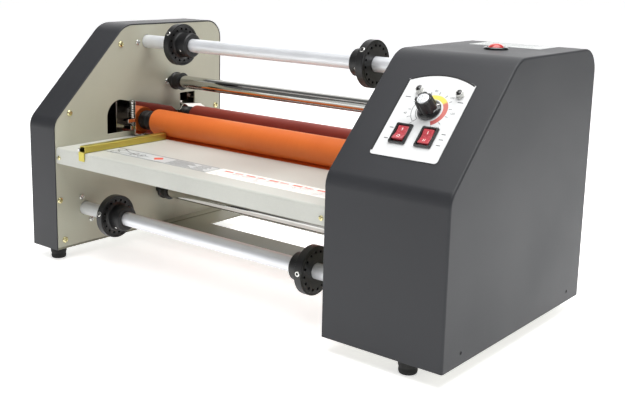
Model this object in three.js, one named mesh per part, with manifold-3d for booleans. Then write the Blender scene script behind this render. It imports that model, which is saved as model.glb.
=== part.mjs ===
// Desktop hot roll laminator: two housings on a base plate, joined by feed table, film mandrels,
// idlers and two pairs of driven rollers.  Millimetres, +Z up, +X from the slim housing to the
// control housing, +Y from the feed side to the delivery side.
import * as THREE from 'three';
import { mergeVertices } from 'three/addons/utils/BufferGeometryUtils.js';
import Module from 'manifold-3d';

const wasm = await Module();
wasm.setup();

// ---- driving dimensions ----
const WIDTH = 574;
const DEPTH = 276;
const TOP = 277;
const FOOT_HEIGHT = 15;
const SLIM_WIDTH = 47;
const CONTROL_WIDTH = 130;
const SLOPE_FOOT = 168;
const BENDS = [22, 32, 24];
const SHEET = 1.5;
const PLATE = 2;
const GAP = 0.3;
const RUNNING = 0.12;

const SLIM_FACE = SLIM_WIDTH;
const CONTROL_FACE = WIDTH - CONTROL_WIDTH;
const MIRROR = SLIM_FACE + CONTROL_FACE;
const BASE_TOP = FOOT_HEIGHT + PLATE;
const SLOPE_RUN = TOP - SLOPE_FOOT;

const TABLE_TOP = 138.8;
const NIP = 139.85;
const NIP_GAP = 0.3;
const FRONT_ROLLER = { y: 141, radius: 15.9, teeth: 32 };
const REAR_ROLLER = { y: 207.2, radius: 14.9, teeth: 30 };
const CORE_RADIUS = 10;
const JOURNAL_RADIUS = 8;
const SLEEVE_START = 70;
const BEARING_END = 68;

const MANDREL_RADIUS = 8;
const UPPER_MANDREL = { y: 145, z: 254.65, leftChuck: 111.2, rightChuck: 394.8 };
const LOWER_MANDREL = { y: 43.2, z: 59.3, leftChuck: 106.2, rightChuck: 403.3 };
const CHUCK = { disc: 25, discLength: 9, hub: 14.5, hubLength: 16.5 };

const IDLER_RADIUS = 8;
const UPPER_IDLER = { y: 183.4, z: 203 };
const LOWER_IDLER = { y: 161.2, z: 63.5 };

const PANEL = { left: 475.8, right: 545.5, low: 31.4, shoulder: 117.9, crown: 126.3, top: 1.1 };
const SWITCH = { width: 17, length: 22, body: [13.2, 18.8], pocket: [11.4, 17.2], along: 56.2, tilt: 7 };
const KNOB = { x: 513, along: 85.2, skirt: 11.5 };
const LAMP = { x: [494.1, 535.8], along: 105.2, hole: 2.9 };
const TOP_SWITCH = { x: 514, y: 175, bezel: 12, barrel: 10, pocket: 8.9 };

const FINE = 20;
const COARSE = 12;

// ---- materials ----
const finish = (color, roughness, metalness = 0) =>
  new THREE.MeshStandardMaterial({ color, roughness, metalness });
const charcoal = finish('#424346', 0.55);
const paleGrey = finish('#a9a899', 0.6);
const paleWhite = finish('#d2d4cd', 0.5);
const orangeSilicone = finish('#e4823f', 0.6);
const redSilicone = finish('#913a2a', 0.6);
const steel = finish('#9a9c9e', 0.35, 1);
const polished = finish('#c8c9ca', 0.12, 1);
const anodised = finish('#c6c9cc', 0.4, 1);
const black = finish('#161617', 0.45);
const rubber = finish('#121212', 0.85);
const yellow = finish('#b7a636', 0.4);
const labelWhite = finish('#eef0ee', 0.4);
const redLens = finish('#c0221c', 0.25);
const brass = finish('#b79a52', 0.35, 1);
const greenBoard = finish('#1e5a34', 0.5);

// ---- joining and cutting ----
function toSolid(geometry) {
  const bare = geometry.clone();
  bare.deleteAttribute('normal');
  bare.deleteAttribute('uv');
  const merged = mergeVertices(bare, 1e-4);
  return new wasm.Manifold(new wasm.Mesh({
    numProp: 3,
    vertProperties: new Float32Array(merged.attributes.position.array),
    triVerts: new Uint32Array(merged.index.array),
  }));
}

function toGeometry(solid) {
  const mesh = solid.getMesh();
  const geometry = new THREE.BufferGeometry();
  geometry.setAttribute('position', new THREE.BufferAttribute(mesh.vertProperties, 3));
  geometry.setIndex(new THREE.BufferAttribute(mesh.triVerts, 1));
  geometry.computeVertexNormals();
  return geometry;
}

function join(...geometries) {
  return toGeometry(geometries.map(toSolid).reduce((whole, next) => whole.add(next)));
}

function cut(geometry, ...tools) {
  return toGeometry(tools.map(toSolid).reduce((whole, next) => whole.subtract(next), toSolid(geometry)));
}

// ---- shapes ----
function distinct(points) {
  return points.filter((point, i) => point.distanceTo(points[(i + 1) % points.length]) > 0.001);
}

// The same shape as plain points, counter-clockwise, with none repeated where an arc meets a line.
function crisp(shape, divisions) {
  const { shape: outline, holes } = shape.extractPoints(divisions);
  if (THREE.ShapeUtils.isClockWise(outline)) outline.reverse();
  const copy = new THREE.Shape(distinct(outline));
  copy.holes = holes.map((hole) => new THREE.Path(distinct(hole)));
  return copy;
}

// Turns an outline drawn in (y, z) so that it sweeps along X.
const ALONG_X = new THREE.Matrix4().makeBasis(
  new THREE.Vector3(0, 1, 0), new THREE.Vector3(0, 0, 1), new THREE.Vector3(1, 0, 0));

function sweepZ(shape, from, to, divisions = 3) {
  const settings = { depth: to - from, bevelEnabled: false };
  const geometry = new THREE.ExtrudeGeometry(crisp(shape, divisions), settings);
  return geometry.translate(0, 0, from);
}

function sweepX(shape, from, to, divisions = 3) {
  return sweepZ(shape, from, to, divisions).applyMatrix4(ALONG_X);
}

// A box given by its lowest and highest corners.
function block(x0, y0, z0, x1, y1, z1) {
  const box = new THREE.BoxGeometry(x1 - x0, y1 - y0, z1 - z0);
  return box.translate((x0 + x1) / 2, (y0 + y1) / 2, (z0 + z1) / 2);
}

// Profiles are lists of [radius, height] pairs.
function turnZ(profile, segments = COARSE) {
  const points = profile.map(([radius, height]) => new THREE.Vector2(radius, height));
  return new THREE.LatheGeometry(points, segments).rotateX(Math.PI / 2);
}

function turnX(profile, y, z, segments = COARSE) {
  return turnZ(profile, segments).rotateY(Math.PI / 2).translate(0, y, z);
}

function rod(radius, from, to, y, z, segments = COARSE) {
  return turnX([[0, from], [radius, from], [radius, to], [0, to]], y, z, segments);
}

function ring(outer, inner, from, to, y, z, segments = COARSE) {
  const profile = [[inner, from], [outer, from], [outer, to], [inner, to], [inner, from]];
  return turnX(profile, y, z, segments);
}

function post(radius, x, y, from, to, segments = COARSE) {
  return turnZ([[0, from], [radius, from], [radius, to], [0, to]], segments).translate(x, y, 0);
}

function polygon(points) {
  return new THREE.Shape(points.map(([a, b]) => new THREE.Vector2(a, b)));
}

function rectangle(a0, b0, a1, b1) {
  return polygon([[a0, b0], [a1, b0], [a1, b1], [a0, b1]]);
}

function roundHole(a, b, radius) {
  return new THREE.Path().absarc(a, b, radius, 0, 2 * Math.PI, true);
}

// Turns an outline's corner into an arc that meets both edges smoothly.
function roundCorner(shape, before, corner, after, radius) {
  const toBefore = before.clone().sub(corner).normalize();
  const toAfter = after.clone().sub(corner).normalize();
  const half = toBefore.angleTo(toAfter) / 2;
  const reach = radius / Math.tan(half);
  const start = corner.clone().addScaledVector(toBefore, reach);
  const centre = corner.clone()
    .addScaledVector(toBefore.clone().add(toAfter).normalize(), radius / Math.sin(half));
  const end = corner.clone().addScaledVector(toAfter, reach);
  const from = start.sub(centre).angle();
  const to = end.sub(centre).angle();
  shape.lineTo(start.x + centre.x, start.y + centre.y);
  shape.absarc(centre.x, centre.y, radius, from, to, true);
}

// The housings' side view, walked clockwise from the front bottom corner.
function housingOutline(inset, bottom) {
  const slide = inset * Math.tan(Math.PI / 8);
  const corners = [
    [inset, bottom],
    [inset, SLOPE_FOOT - slide],
    [SLOPE_RUN + slide, TOP - inset],
    [DEPTH - inset, TOP - inset],
    [DEPTH - inset, bottom],
  ].map(([a, b]) => new THREE.Vector2(a, b));
  const radii = BENDS.map((radius) => radius - inset);
  const shape = new THREE.Shape().moveTo(corners[0].x, corners[0].y);
  radii.forEach((radius, i) => roundCorner(shape, corners[i], corners[i + 1], corners[i + 2], radius));
  shape.lineTo(corners[4].x, corners[4].y);
  shape.closePath();
  return shape;
}

// ---- the model's tree ----
const laminator = new THREE.Group();
laminator.position.set(-WIDTH / 2, -DEPTH / 2, 0);
const slope = new THREE.Group();
slope.position.set(0, 0, SLOPE_FOOT);
slope.rotation.x = Math.PI / 4;
laminator.add(slope);

function add(name, geometry, material, parent = laminator) {
  const mesh = new THREE.Mesh(geometry, material);
  mesh.name = name;
  parent.add(mesh);
  return mesh;
}

// Both ends of the machine are alike: a span of x at the slim end, or its mirror image.
function span(end, from, to) {
  return end === 'left' ? [from, to] : [MIRROR - to, MIRROR - from];
}

// ---- housings and frame ----
const SPANS = { left: [0, SLIM_FACE], right: [CONTROL_FACE, WIDTH] };
const MANDREL_HOLE = MANDREL_RADIUS + 0.4;
const SLOT = { front: 200.5, back: 227.3, top: 184.8 };
const WINDOW = { front: 79, sill: 145, crownY: 100, crown: 185.6 };
const WINDOW_BROW = [[120, 181], [184, 167.5], [191, 161], [SLOT.front, 163.4]];
const WINDOW_LOW = { front: 123.4, floor: 107 };

function coverShell(end) {
  const [from, to] = SPANS[end];
  const outer = sweepX(housingOutline(0, FOOT_HEIGHT), from, to);
  const hollow = housingOutline(SHEET, FOOT_HEIGHT - 1);
  const inner = end === 'left' ? sweepX(hollow, from + SHEET, to + 1) : sweepX(hollow, from - 1, to - SHEET);
  return cut(outer, inner);
}

// Everything that passes through the sloped face, in the slope's own frame.
function slopeCuts(clearance) {
  const tools = SWITCHES.map(({ x }) => {
    const [width, length] = SWITCH.body.map((size) => size + 2 * clearance);
    return block(x - width / 2, SWITCH.along - length / 2, -4, x + width / 2, SWITCH.along + length / 2, 4);
  });
  LAMP.x.forEach((x) => tools.push(post(LAMP.hole, x, LAMP.along, -4, 4)));
  tools.push(post(4.9, KNOB.x, KNOB.along, -4, 4));
  return tools;
}

function ventSlots() {
  const slots = [];
  for (let row = 0; row < 2; row += 1) {
    for (let i = 0; i < 9; i += 1) {
      const x = 486 + 8 * i;
      slots.push(block(x, DEPTH - 3, 150 + 42 * row, x + 3, DEPTH + 1, 180 + 42 * row));
    }
  }
  return slots;
}

const INLET = { x: 510, z: 62, width: 27.6, height: 20.4, flangeWidth: 50, flangeHeight: 24 };

function controlCover() {
  const turned = slopeCuts(0.2).map((tool) => tool.rotateX(Math.PI / 4).translate(0, 0, SLOPE_FOOT));
  const topHole = post(TOP_SWITCH.barrel + 0.3, TOP_SWITCH.x, TOP_SWITCH.y, TOP - 3, TOP + 1, FINE);
  const { x, z, width, height } = INLET;
  const inletHole = block(x - width / 2, DEPTH - 3, z - height / 2, x + width / 2, DEPTH + 1, z + height / 2);
  return cut(coverShell('right'), ...turned, topHole, inletHole, ...ventSlots());
}

// The opening through which the rollers' bearings and their pressure screws are reached.
function bearingWindow() {
  const radius = WINDOW.crownY - WINDOW.front;
  const path = new THREE.Path()
    .moveTo(WINDOW_LOW.front, WINDOW_LOW.floor)
    .lineTo(WINDOW_LOW.front, WINDOW.sill)
    .lineTo(WINDOW.front, WINDOW.sill)
    .absarc(WINDOW.crownY, WINDOW.crown - radius, radius, Math.PI, Math.PI / 2, true);
  WINDOW_BROW.forEach(([y, z]) => path.lineTo(y, z));
  return path
    .lineTo(SLOT.front, SLOT.top)
    .lineTo(SLOT.back, SLOT.top)
    .lineTo(SLOT.back, WINDOW_LOW.floor)
    .closePath();
}

function sidePlate(end) {
  const shape = housingOutline(SHEET + GAP, BASE_TOP + GAP);
  shape.holes.push(bearingWindow());
  const plate = sweepX(shape, ...span(end, SLIM_FACE - PLATE, SLIM_FACE));
  return cut(plate, ...[UPPER_MANDREL, LOWER_MANDREL].map(({ y, z }) =>
    rod(MANDREL_HOLE, ...span(end, SLIM_FACE - 5, SLIM_FACE + 1), y, z)));
}

// One sheet under both housings, notched at the front and open in the middle.
function basePlate() {
  const edge = SHEET + GAP;
  const notch = 157;
  const shape = polygon([
    [edge, edge], [SLIM_FACE, edge], [SLIM_FACE, notch], [CONTROL_FACE, notch],
    [CONTROL_FACE, edge], [WIDTH - edge, edge], [WIDTH - edge, DEPTH - edge], [edge, DEPTH - edge],
  ]);
  shape.holes.push(new THREE.Path(rectangle(97, 205, 394, 268).getPoints()));
  return sweepZ(shape, FOOT_HEIGHT, BASE_TOP);
}

function foot() {
  const top = FOOT_HEIGHT - GAP;
  return turnZ([[0, 0], [8, 0], [8.6, 1], [9.6, top - 0.7], [9.6, top], [0, top]]);
}

function addHousings() {
  add('left_cover', coverShell('left'), charcoal);
  add('right_cover', controlCover(), charcoal);
  add('left_side_plate', sidePlate('left'), paleGrey);
  add('right_side_plate', sidePlate('right'), paleGrey);
  add('base_plate', basePlate(), paleGrey);
  const corners = {
    front_left_foot: [28, 16], front_right_foot: [530, 16],
    back_left_foot: [28, 260], back_right_foot: [530, 260],
  };
  Object.entries(corners).forEach(([name, [x, y]]) => add(name, foot(), rubber).position.set(x, y, 0));
}

// ---- feed table and its sliding edge guide ----
const TABLE = { front: 2.5, back: 129, skirt: 18.3, sheet: 1.5, bend: 2.5 };

function feedTable() {
  const { front, back, skirt, sheet, bend } = TABLE;
  const from = SLIM_FACE + GAP;
  const to = CONTROL_FACE - GAP;
  const shape = new THREE.Shape()
    .moveTo(front, TABLE_TOP - skirt)
    .lineTo(front, TABLE_TOP - bend)
    .absarc(front + bend, TABLE_TOP - bend, bend, Math.PI, Math.PI / 2, true)
    .lineTo(back, TABLE_TOP)
    .lineTo(back, TABLE_TOP - sheet)
    .lineTo(front + bend, TABLE_TOP - sheet)
    .absarc(front + bend, TABLE_TOP - bend, bend - sheet, Math.PI / 2, Math.PI, false)
    .lineTo(front + sheet, TABLE_TOP - skirt)
    .closePath();
  const ends = [[from + 1, from + 1 + sheet], [to - 1 - sheet, to - 1]].map(([a, b]) =>
    block(a, front + bend + 1, TABLE_TOP - skirt, b, 62, TABLE_TOP - sheet / 2));
  return join(sweepX(shape, from, to), ...ends);
}

function edgeGuide() {
  const left = 90.5;
  const right = 99.8;
  const low = TABLE_TOP + GAP;
  const high = low + 8;
  const wall = 1.2;
  const back = 126.5;
  const bore = block(left + wall, 0, low + wall, right - wall, back + 1, high - wall);
  const tube = cut(block(left, 3, low, right, back, high), bore);
  const hook = block(left, 0.8, TABLE_TOP - 9, right, TABLE.front - GAP, high - 2);
  const bridge = block(left, 0.8, low, right, 4, high - 2);
  return join(tube, hook, cut(bridge, block(left - 1, 2, low - 1, right + 1, 5, low)));
}

// ---- controls on the slope and on top ----
const SWITCHES = [
  { name: 'power', x: 497.5, rest: -SWITCH.tilt },
  { name: 'direction', x: 524.2, rest: 0 },
];

function controlPlate() {
  const { left, right, low, shoulder, crown, top } = PANEL;
  const middle = (left + right) / 2;
  const chord = (right - left) / 2;
  const rise = crown - shoulder;
  const radius = (chord ** 2 + rise ** 2) / (2 * rise);
  const sweep = Math.asin(chord / radius);
  const corner = 3;
  const shape = new THREE.Shape()
    .moveTo(left, low + corner)
    .lineTo(left, shoulder)
    .absarc(middle, crown - radius, radius, Math.PI / 2 + sweep, Math.PI / 2 - sweep, true)
    .lineTo(right, low + corner)
    .absarc(right - corner, low + corner, corner, 0, -Math.PI / 2, true)
    .lineTo(left + corner, low)
    .absarc(left + corner, low + corner, corner, -Math.PI / 2, -Math.PI, true);
  return cut(sweepZ(shape, GAP, top, 12), ...slopeCuts(0.2));
}

function switchBezel(x) {
  const { width, length, body, pocket, along } = SWITCH;
  const flangeTop = PANEL.top + GAP + 2;
  const centred = (w, l, from, to) => block(x - w / 2, along - l / 2, from, x + w / 2, along + l / 2, to);
  const flange = centred(width, length, PANEL.top + GAP, flangeTop);
  return cut(join(flange, centred(...body, -16, flangeTop - 1)), centred(...pocket, -8, flangeTop + 1));
}

// The rocker's side view about its own pivot: two faces meeting in a shallow valley.
function rocker() {
  const profile = polygon([
    [-6.4, -2.5], [6.4, -2.5], [7.6, 0.6], [7.6, 4], [0, 2.6], [-7.6, 4], [-7.6, 0.6],
  ]);
  return sweepX(profile, -5.4, 5.4);
}

function addSwitches() {
  SWITCHES.forEach(({ name, x, rest }) => {
    add(`${name}_switch_bezel`, switchBezel(x), black, slope);
    const mesh = add(`${name}_rocker`, rocker(), redLens, slope);
    mesh.position.set(x, SWITCH.along, 0);
    mesh.rotation.x = THREE.MathUtils.degToRad(rest);
  });
}

function addTopSwitch() {
  const { x, y, bezel, barrel, pocket } = TOP_SWITCH;
  const low = TOP + GAP;
  const holder = turnZ([
    [0, 258], [barrel, 258], [barrel, low], [bezel, low], [bezel, low + 1.4], [bezel - 0.8, low + 2],
    [pocket, low + 2], [pocket, 265], [0, 265],
  ], FINE);
  add('top_switch_bezel', holder.translate(x, y, 0), black);
  const dome = turnZ([[0, -6], [7, -6], [7.8, -2], [7.8, 4.5], [6.8, 6.6], [4, 8.2], [0, 8.8]], FINE);
  const mesh = add('top_rocker', dome, redLens);
  mesh.position.set(x, y, 274);
  mesh.rotation.x = THREE.MathUtils.degToRad(6);
}

const SPINDLE = 2.8;

function temperatureKnob() {
  const base = PANEL.top + 0.6;
  return turnZ([
    [0, -6], [SPINDLE, -6], [SPINDLE, base + 1.2], [4.8, base + 1.2], [4.8, base], [KNOB.skirt, base],
    [KNOB.skirt, base + 1.2], [9, base + 3], [8.4, base + 3.6], [7.6, 17], [6.6, 18], [0, 18],
  ], FINE);
}

function thermostat() {
  const bore = SPINDLE + RUNNING;
  const bush = turnZ([[bore, -7], [4.4, -7], [4.4, 2.4], [bore, 2.4], [bore, -7]], FINE);
  const can = turnZ([[0, -28], [15, -28], [15, -2], [bore, -2], [bore, -7], [0, -7]], FINE);
  return join(can, bush);
}

function lamp() {
  const low = PANEL.top + GAP;
  return turnZ([
    [0, -12], [2.6, -12], [2.6, low], [3.9, low], [3.9, low + 0.8], [3.5, low + 0.8],
    [3.5, low + 4.2], [2.8, low + 4.8], [1.4, low + 5.2], [0, low + 5.4],
  ]);
}

function addControls() {
  add('control_plate', controlPlate(), labelWhite, slope);
  addSwitches();
  addTopSwitch();
  add('temperature_knob', temperatureKnob(), black, slope).position.set(KNOB.x, KNOB.along, 0);
  add('thermostat', thermostat(), steel, slope).position.set(KNOB.x, KNOB.along, 0);
  ['left_indicator', 'right_indicator'].forEach((name, i) =>
    add(name, lamp(), polished, slope).position.set(LAMP.x[i], LAMP.along, 0));
}

// ---- film mandrels, chucks and idlers ----
function mandrel({ y, z }) {
  return ring(MANDREL_RADIUS, MANDREL_RADIUS - 1.8, 30, MIRROR - 30, y, z, FINE);
}

// discEnd is the end of the disc's rim farther along X; hubSide is 1 when the hub stands on that
// end and -1 when it stands on the other.
function chuck(discEnd, hubSide, { y, z }) {
  const { disc, discLength, hub, hubLength } = CHUCK;
  const bore = MANDREL_RADIUS + RUNNING;
  const back = discEnd - discLength;
  const profile = hubSide > 0
    ? [[bore, back], [disc, back], [disc, discEnd], [hub, discEnd], [hub, discEnd + hubLength],
      [bore, discEnd + hubLength], [bore, back]]
    : [[bore, back - hubLength], [hub, back - hubLength], [hub, back], [disc, back], [disc, discEnd],
      [bore, discEnd], [bore, back - hubLength]];
  return turnX(profile, y, z, FINE);
}

function addMandrels() {
  Object.entries({ upper: UPPER_MANDREL, lower: LOWER_MANDREL }).forEach(([name, place]) => {
    add(`${name}_mandrel`, mandrel(place), anodised);
    add(`${name}_left_chuck`, chuck(place.leftChuck, 1, place), black);
    add(`${name}_right_chuck`, chuck(place.rightChuck, -1, place), black);
  });
}

function idler({ y, z }) {
  const from = SLEEVE_START + GAP;
  const stub = 60.5;
  return turnX([
    [0, stub], [4, stub], [4, from], [IDLER_RADIUS, from], [IDLER_RADIUS, MIRROR - from],
    [4, MIRROR - from], [4, MIRROR - stub], [0, MIRROR - stub],
  ], y, z, FINE);
}

function idlerBush(end, { y, z }) {
  const side = (x) => (end === 'left' ? x : MIRROR - x);
  const profile = [
    [0, side(SLIM_FACE + GAP)], [5, side(SLIM_FACE + GAP)], [5, side(56)], [11.2, side(56)],
    [11.2, side(SLEEVE_START)], [4 + RUNNING, side(SLEEVE_START)], [4 + RUNNING, side(60)], [0, side(60)],
  ];
  return turnX(end === 'left' ? profile : profile.reverse(), y, z, FINE);
}

function addIdlers() {
  Object.entries({ upper: UPPER_IDLER, lower: LOWER_IDLER }).forEach(([name, place]) => {
    add(`${name}_idler`, idler(place), polished);
    ['left', 'right'].forEach((end) => add(`${name}_${end}_bush`, idlerBush(end, place), black));
  });
}

// ---- rollers ----
const PAIRS = { front: FRONT_ROLLER, rear: REAR_ROLLER };
const COATING = { front: orangeSilicone, rear: redSilicone };

// The axis of a roller: the nip lies midway between the two of a pair.
function axis({ y, radius }, level) {
  const rise = radius + NIP_GAP / 2;
  return { y, z: level === 'upper' ? NIP + rise : NIP - rise };
}

function sleeve(pair, level) {
  const { y, z } = axis(pair, level);
  return ring(pair.radius, CORE_RADIUS + RUNNING, SLEEVE_START, MIRROR - SLEEVE_START, y, z, FINE);
}

function core(pair, level) {
  const { y, z } = axis(pair, level);
  const bore = 5;
  const shoulder = BEARING_END + 0.5;
  const far = 478;
  return turnX([
    [bore, 26], [JOURNAL_RADIUS, 26], [JOURNAL_RADIUS, shoulder], [CORE_RADIUS, shoulder],
    [CORE_RADIUS, MIRROR - shoulder], [JOURNAL_RADIUS, MIRROR - shoulder], [JOURNAL_RADIUS, far],
    [bore, far], [bore, 26],
  ], y, z, FINE);
}

function addRollers() {
  Object.entries(PAIRS).forEach(([place, pair]) => ['upper', 'lower'].forEach((level) => {
    add(`${place}_${level}_sleeve`, sleeve(pair, level), COATING[place]);
    add(`${place}_${level}_core`, core(pair, level), steel);
  }));
}

// ---- roller bearings and pressure springs ----
const FRAME = { from: 30, to: 34, front: 104, back: 240, low: 100, high: 190 };
const CARRIAGE = { front: 122, back: 226, low: 140.3, high: 182 };
const BEARING_PLATE = { from: 54.6, to: 57 };
const BOSS = { upper: 12, lower: 14 };
const SPRING = { x: 50.9, y: 115.6, low: 161.8, high: 180, coil: 2.9, wire: 0.55, turns: 6 };
const STUB_END = 475;

const JOURNAL_HOLE = JOURNAL_RADIUS + RUNNING;
const REAR_UPPER = axis(REAR_ROLLER, 'upper');
const REAR_LOWER = axis(REAR_ROLLER, 'lower');
const FRONT_UPPER = axis(FRONT_ROLLER, 'upper');
const FRONT_LOWER = axis(FRONT_ROLLER, 'lower');
const IDLE_GEAR = {
  y: FRONT_ROLLER.y + (FRONT_ROLLER.teeth + 35) / 2 + RUNNING,
  z: (FRONT_LOWER.z + REAR_LOWER.z) / 2,
  teeth: 35,
};

function rollerFrame(end) {
  const { from, to, front, back, low, high } = FRAME;
  const shape = rectangle(front, low, back, high);
  shape.holes.push(new THREE.Path(
    rectangle(CARRIAGE.front, CARRIAGE.low, CARRIAGE.back, CARRIAGE.high).getPoints()));
  const plate = sweepX(shape, ...span(end, from, to));
  const lowerBosses = [FRONT_LOWER, REAR_LOWER].map(({ y, z }) =>
    rod(BOSS.lower, ...span(end, to - 1, BEARING_END), y, z));
  const standOffs = [[112, 110], [234, 110], [234, 178]].map(([y, z]) =>
    rod(5, ...span(end, to - 1, SLIM_FACE - PLATE - GAP), y, z));
  const [lugFrom, lugTo] = span(end, to - 1, 54.2);
  const lug = block(lugFrom, 110, 147.5, lugTo, 122, 152);
  const whole = join(plate, ...lowerBosses, ...standOffs, lug, ...(end === 'right' ? [gearStub()] : []));
  const holes = [FRONT_LOWER, REAR_LOWER].map(({ y, z }) =>
    rod(JOURNAL_HOLE, ...span(end, 20, BEARING_END + 2), y, z, FINE));
  return cut(whole, ...holes, post(2.3, springX(end), SPRING.y, 140, 160));
}

// The pin on the control side's frame that the idle gear turns on.
function gearStub() {
  return rod(5, MIRROR - FRAME.to, STUB_END, IDLE_GEAR.y, IDLE_GEAR.z);
}

function springX(end) {
  return end === 'left' ? SPRING.x : MIRROR - SPRING.x;
}

// The face of the carriage, which shows in the side plate's window and covers its back half.
function bearingPlate() {
  return polygon([
    [115, 141], [236, 141], [236, 164.7], [232.8, 166.2], [228, 169.6], [198.2, 172.3],
    [190, 164.4], [184.5, 164.7], [176.5, 170.8], [152, 176.4], [115, 183.6],
  ]);
}

// The part that carries both upper rollers and slides up and down in the frame.
function carriage(end) {
  const { front, back, low } = CARRIAGE;
  const { from, to } = FRAME;
  const plate = BEARING_PLATE;
  const slab = sweepX(rectangle(front + GAP, low + GAP, back - GAP, 172), ...span(end, from, to + 0.6));
  const face = sweepX(bearingPlate(), ...span(end, plate.from, plate.to));
  const bosses = [[to + GAP, FRONT_UPPER], [plate.from + 1, REAR_UPPER]].map(([start, { y, z }]) =>
    rod(BOSS.upper, ...span(end, start, BEARING_END), y, z, FINE));
  const [tieFrom, tieTo] = span(end, to, plate.from + 1);
  const tie = block(tieFrom, 217, 145, tieTo, 225.4, 168);
  const [armFrom, armTo] = span(end, 47.4, plate.to);
  const arm = block(armFrom, 103.4, 158.8, armTo, 121, SPRING.low - GAP);
  const holes = [FRONT_UPPER, REAR_UPPER].map(({ y, z }) =>
    rod(JOURNAL_HOLE, ...span(end, 20, BEARING_END + 2), y, z, FINE));
  const whole = join(slab, face, ...bosses, tie, arm);
  return cut(whole, ...holes, post(2.4, springX(end), SPRING.y, 155, 165));
}

class Helix extends THREE.Curve {
  getPoint(t, target = new THREE.Vector3()) {
    const angle = 2 * Math.PI * SPRING.turns * t;
    const { low, high, coil, wire } = SPRING;
    const height = low + wire + (high - low - 2 * wire) * t;
    return target.set(coil * Math.cos(angle), coil * Math.sin(angle), height);
  }
}

function spring() {
  const section = new THREE.Shape().absarc(0, 0, SPRING.wire, 0, 2 * Math.PI);
  return new THREE.ExtrudeGeometry(section, {
    steps: SPRING.turns * 7, curveSegments: 3, bevelEnabled: false, extrudePath: new Helix(),
  });
}

function pressureScrew() {
  const head = SPRING.high + GAP;
  return turnZ([
    [0, 148], [1.9, 148], [1.9, head], [3.4, head], [3.4, head + 2.2], [2.4, head + 3.6], [0, head + 4],
  ]);
}

function addBearings() {
  ['left', 'right'].forEach((end) => {
    add(`${end}_roller_frame`, rollerFrame(end), polished);
    add(`${end}_carriage`, carriage(end), black);
    add(`${end}_pressure_spring`, spring(), steel).position.set(springX(end), SPRING.y, 0);
    add(`${end}_pressure_screw`, pressureScrew(), polished).position.set(springX(end), SPRING.y, 0);
  });
}

// ---- gear train, all of module one ----
const GEARS = { from: 466, to: 474 };
const PRESSURE_ANGLE = THREE.MathUtils.degToRad(20);
const THINNING = 0.84;
const MOTOR_GEAR = {
  y: FRONT_ROLLER.y - 0.6 * (FRONT_ROLLER.teeth + 18 + 0.2) / 2,
  z: FRONT_LOWER.z - 0.8 * (FRONT_ROLLER.teeth + 18 + 0.2) / 2,
  teeth: 18,
};

function involute(angle) {
  return Math.tan(angle) - angle;
}

// Half the angle that a tooth takes up at a given radius.
function toothHalf(teeth, radius) {
  const pitch = teeth / 2;
  const base = pitch * Math.cos(PRESSURE_ANGLE);
  const local = Math.acos(Math.min(1, base / radius));
  return THINNING * Math.PI / (2 * teeth) + involute(PRESSURE_ANGLE) - involute(local);
}

function gearShape({ y, z, teeth }, phase, bore) {
  const radii = [teeth / 2 - 1.25, teeth / 2 + 1];
  const points = [];
  for (let i = 0; i < teeth; i += 1) {
    const middle = phase + 2 * Math.PI * i / teeth;
    const corner = (radius, side) => {
      const angle = middle + side * toothHalf(teeth, radius);
      points.push(new THREE.Vector2(y + radius * Math.cos(angle), z + radius * Math.sin(angle)));
    };
    radii.forEach((radius) => corner(radius, -1));
    [...radii].reverse().forEach((radius) => corner(radius, 1));
  }
  const shape = new THREE.Shape(points);
  shape.holes.push(roundHole(y, z, bore));
  return shape;
}

// The phase that puts a gap of the second gear over a tooth of the first.
function meshedPhase(first, phase, second) {
  const towards = Math.atan2(second.z - first.z, second.y - first.y);
  const beyond = (towards - phase) / (2 * Math.PI / first.teeth);
  return towards + Math.PI + (beyond - Math.floor(beyond) + 0.5) * 2 * Math.PI / second.teeth;
}

function addGears() {
  const { from, to } = GEARS;
  const gears = {
    front_lower_gear: { ...FRONT_LOWER, teeth: FRONT_ROLLER.teeth, bore: JOURNAL_HOLE },
    front_upper_gear: { ...FRONT_UPPER, teeth: FRONT_ROLLER.teeth, bore: JOURNAL_HOLE },
    idle_gear: { ...IDLE_GEAR, bore: 5 + RUNNING },
    rear_lower_gear: { ...REAR_LOWER, teeth: REAR_ROLLER.teeth, bore: JOURNAL_HOLE },
    rear_upper_gear: { ...REAR_UPPER, teeth: REAR_ROLLER.teeth, bore: JOURNAL_HOLE },
  };
  const drives = [
    ['front_lower_gear', 'front_upper_gear'], ['front_lower_gear', 'idle_gear'],
    ['idle_gear', 'rear_lower_gear'], ['rear_lower_gear', 'rear_upper_gear'],
  ];
  const phases = { front_lower_gear: 0 };
  drives.forEach(([first, second]) => {
    phases[second] = meshedPhase(gears[first], phases[first], gears[second]);
  });
  Object.entries(gears).forEach(([name, gear]) =>
    add(name, sweepX(gearShape(gear, phases[name], gear.bore), from, to, FINE / 2), brass));
  const pinionPhase = meshedPhase(gears.front_lower_gear, 0, MOTOR_GEAR);
  const wheel = sweepX(gearShape(MOTOR_GEAR, pinionPhase, 3.5), from, to, 4);
  add('motor_gear', join(wheel, rod(4, from - 1, 496, MOTOR_GEAR.y, MOTOR_GEAR.z)), steel);
}

// ---- motor, board and mains inlet ----
const MOTOR = { plate: 482, face: 486.3, box: 510, end: 548 };

function motorBracket() {
  const { plate } = MOTOR;
  const { y, z } = MOTOR_GEAR;
  const upright = block(plate, 88, BASE_TOP + GAP, plate + PLATE * 2, 164, 136);
  const foldedFoot = block(plate, 88, BASE_TOP + GAP, plate + 40, 164, BASE_TOP + GAP + PLATE);
  return cut(join(upright, foldedFoot), rod(5, plate - 1, plate + 6, y, z));
}

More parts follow.
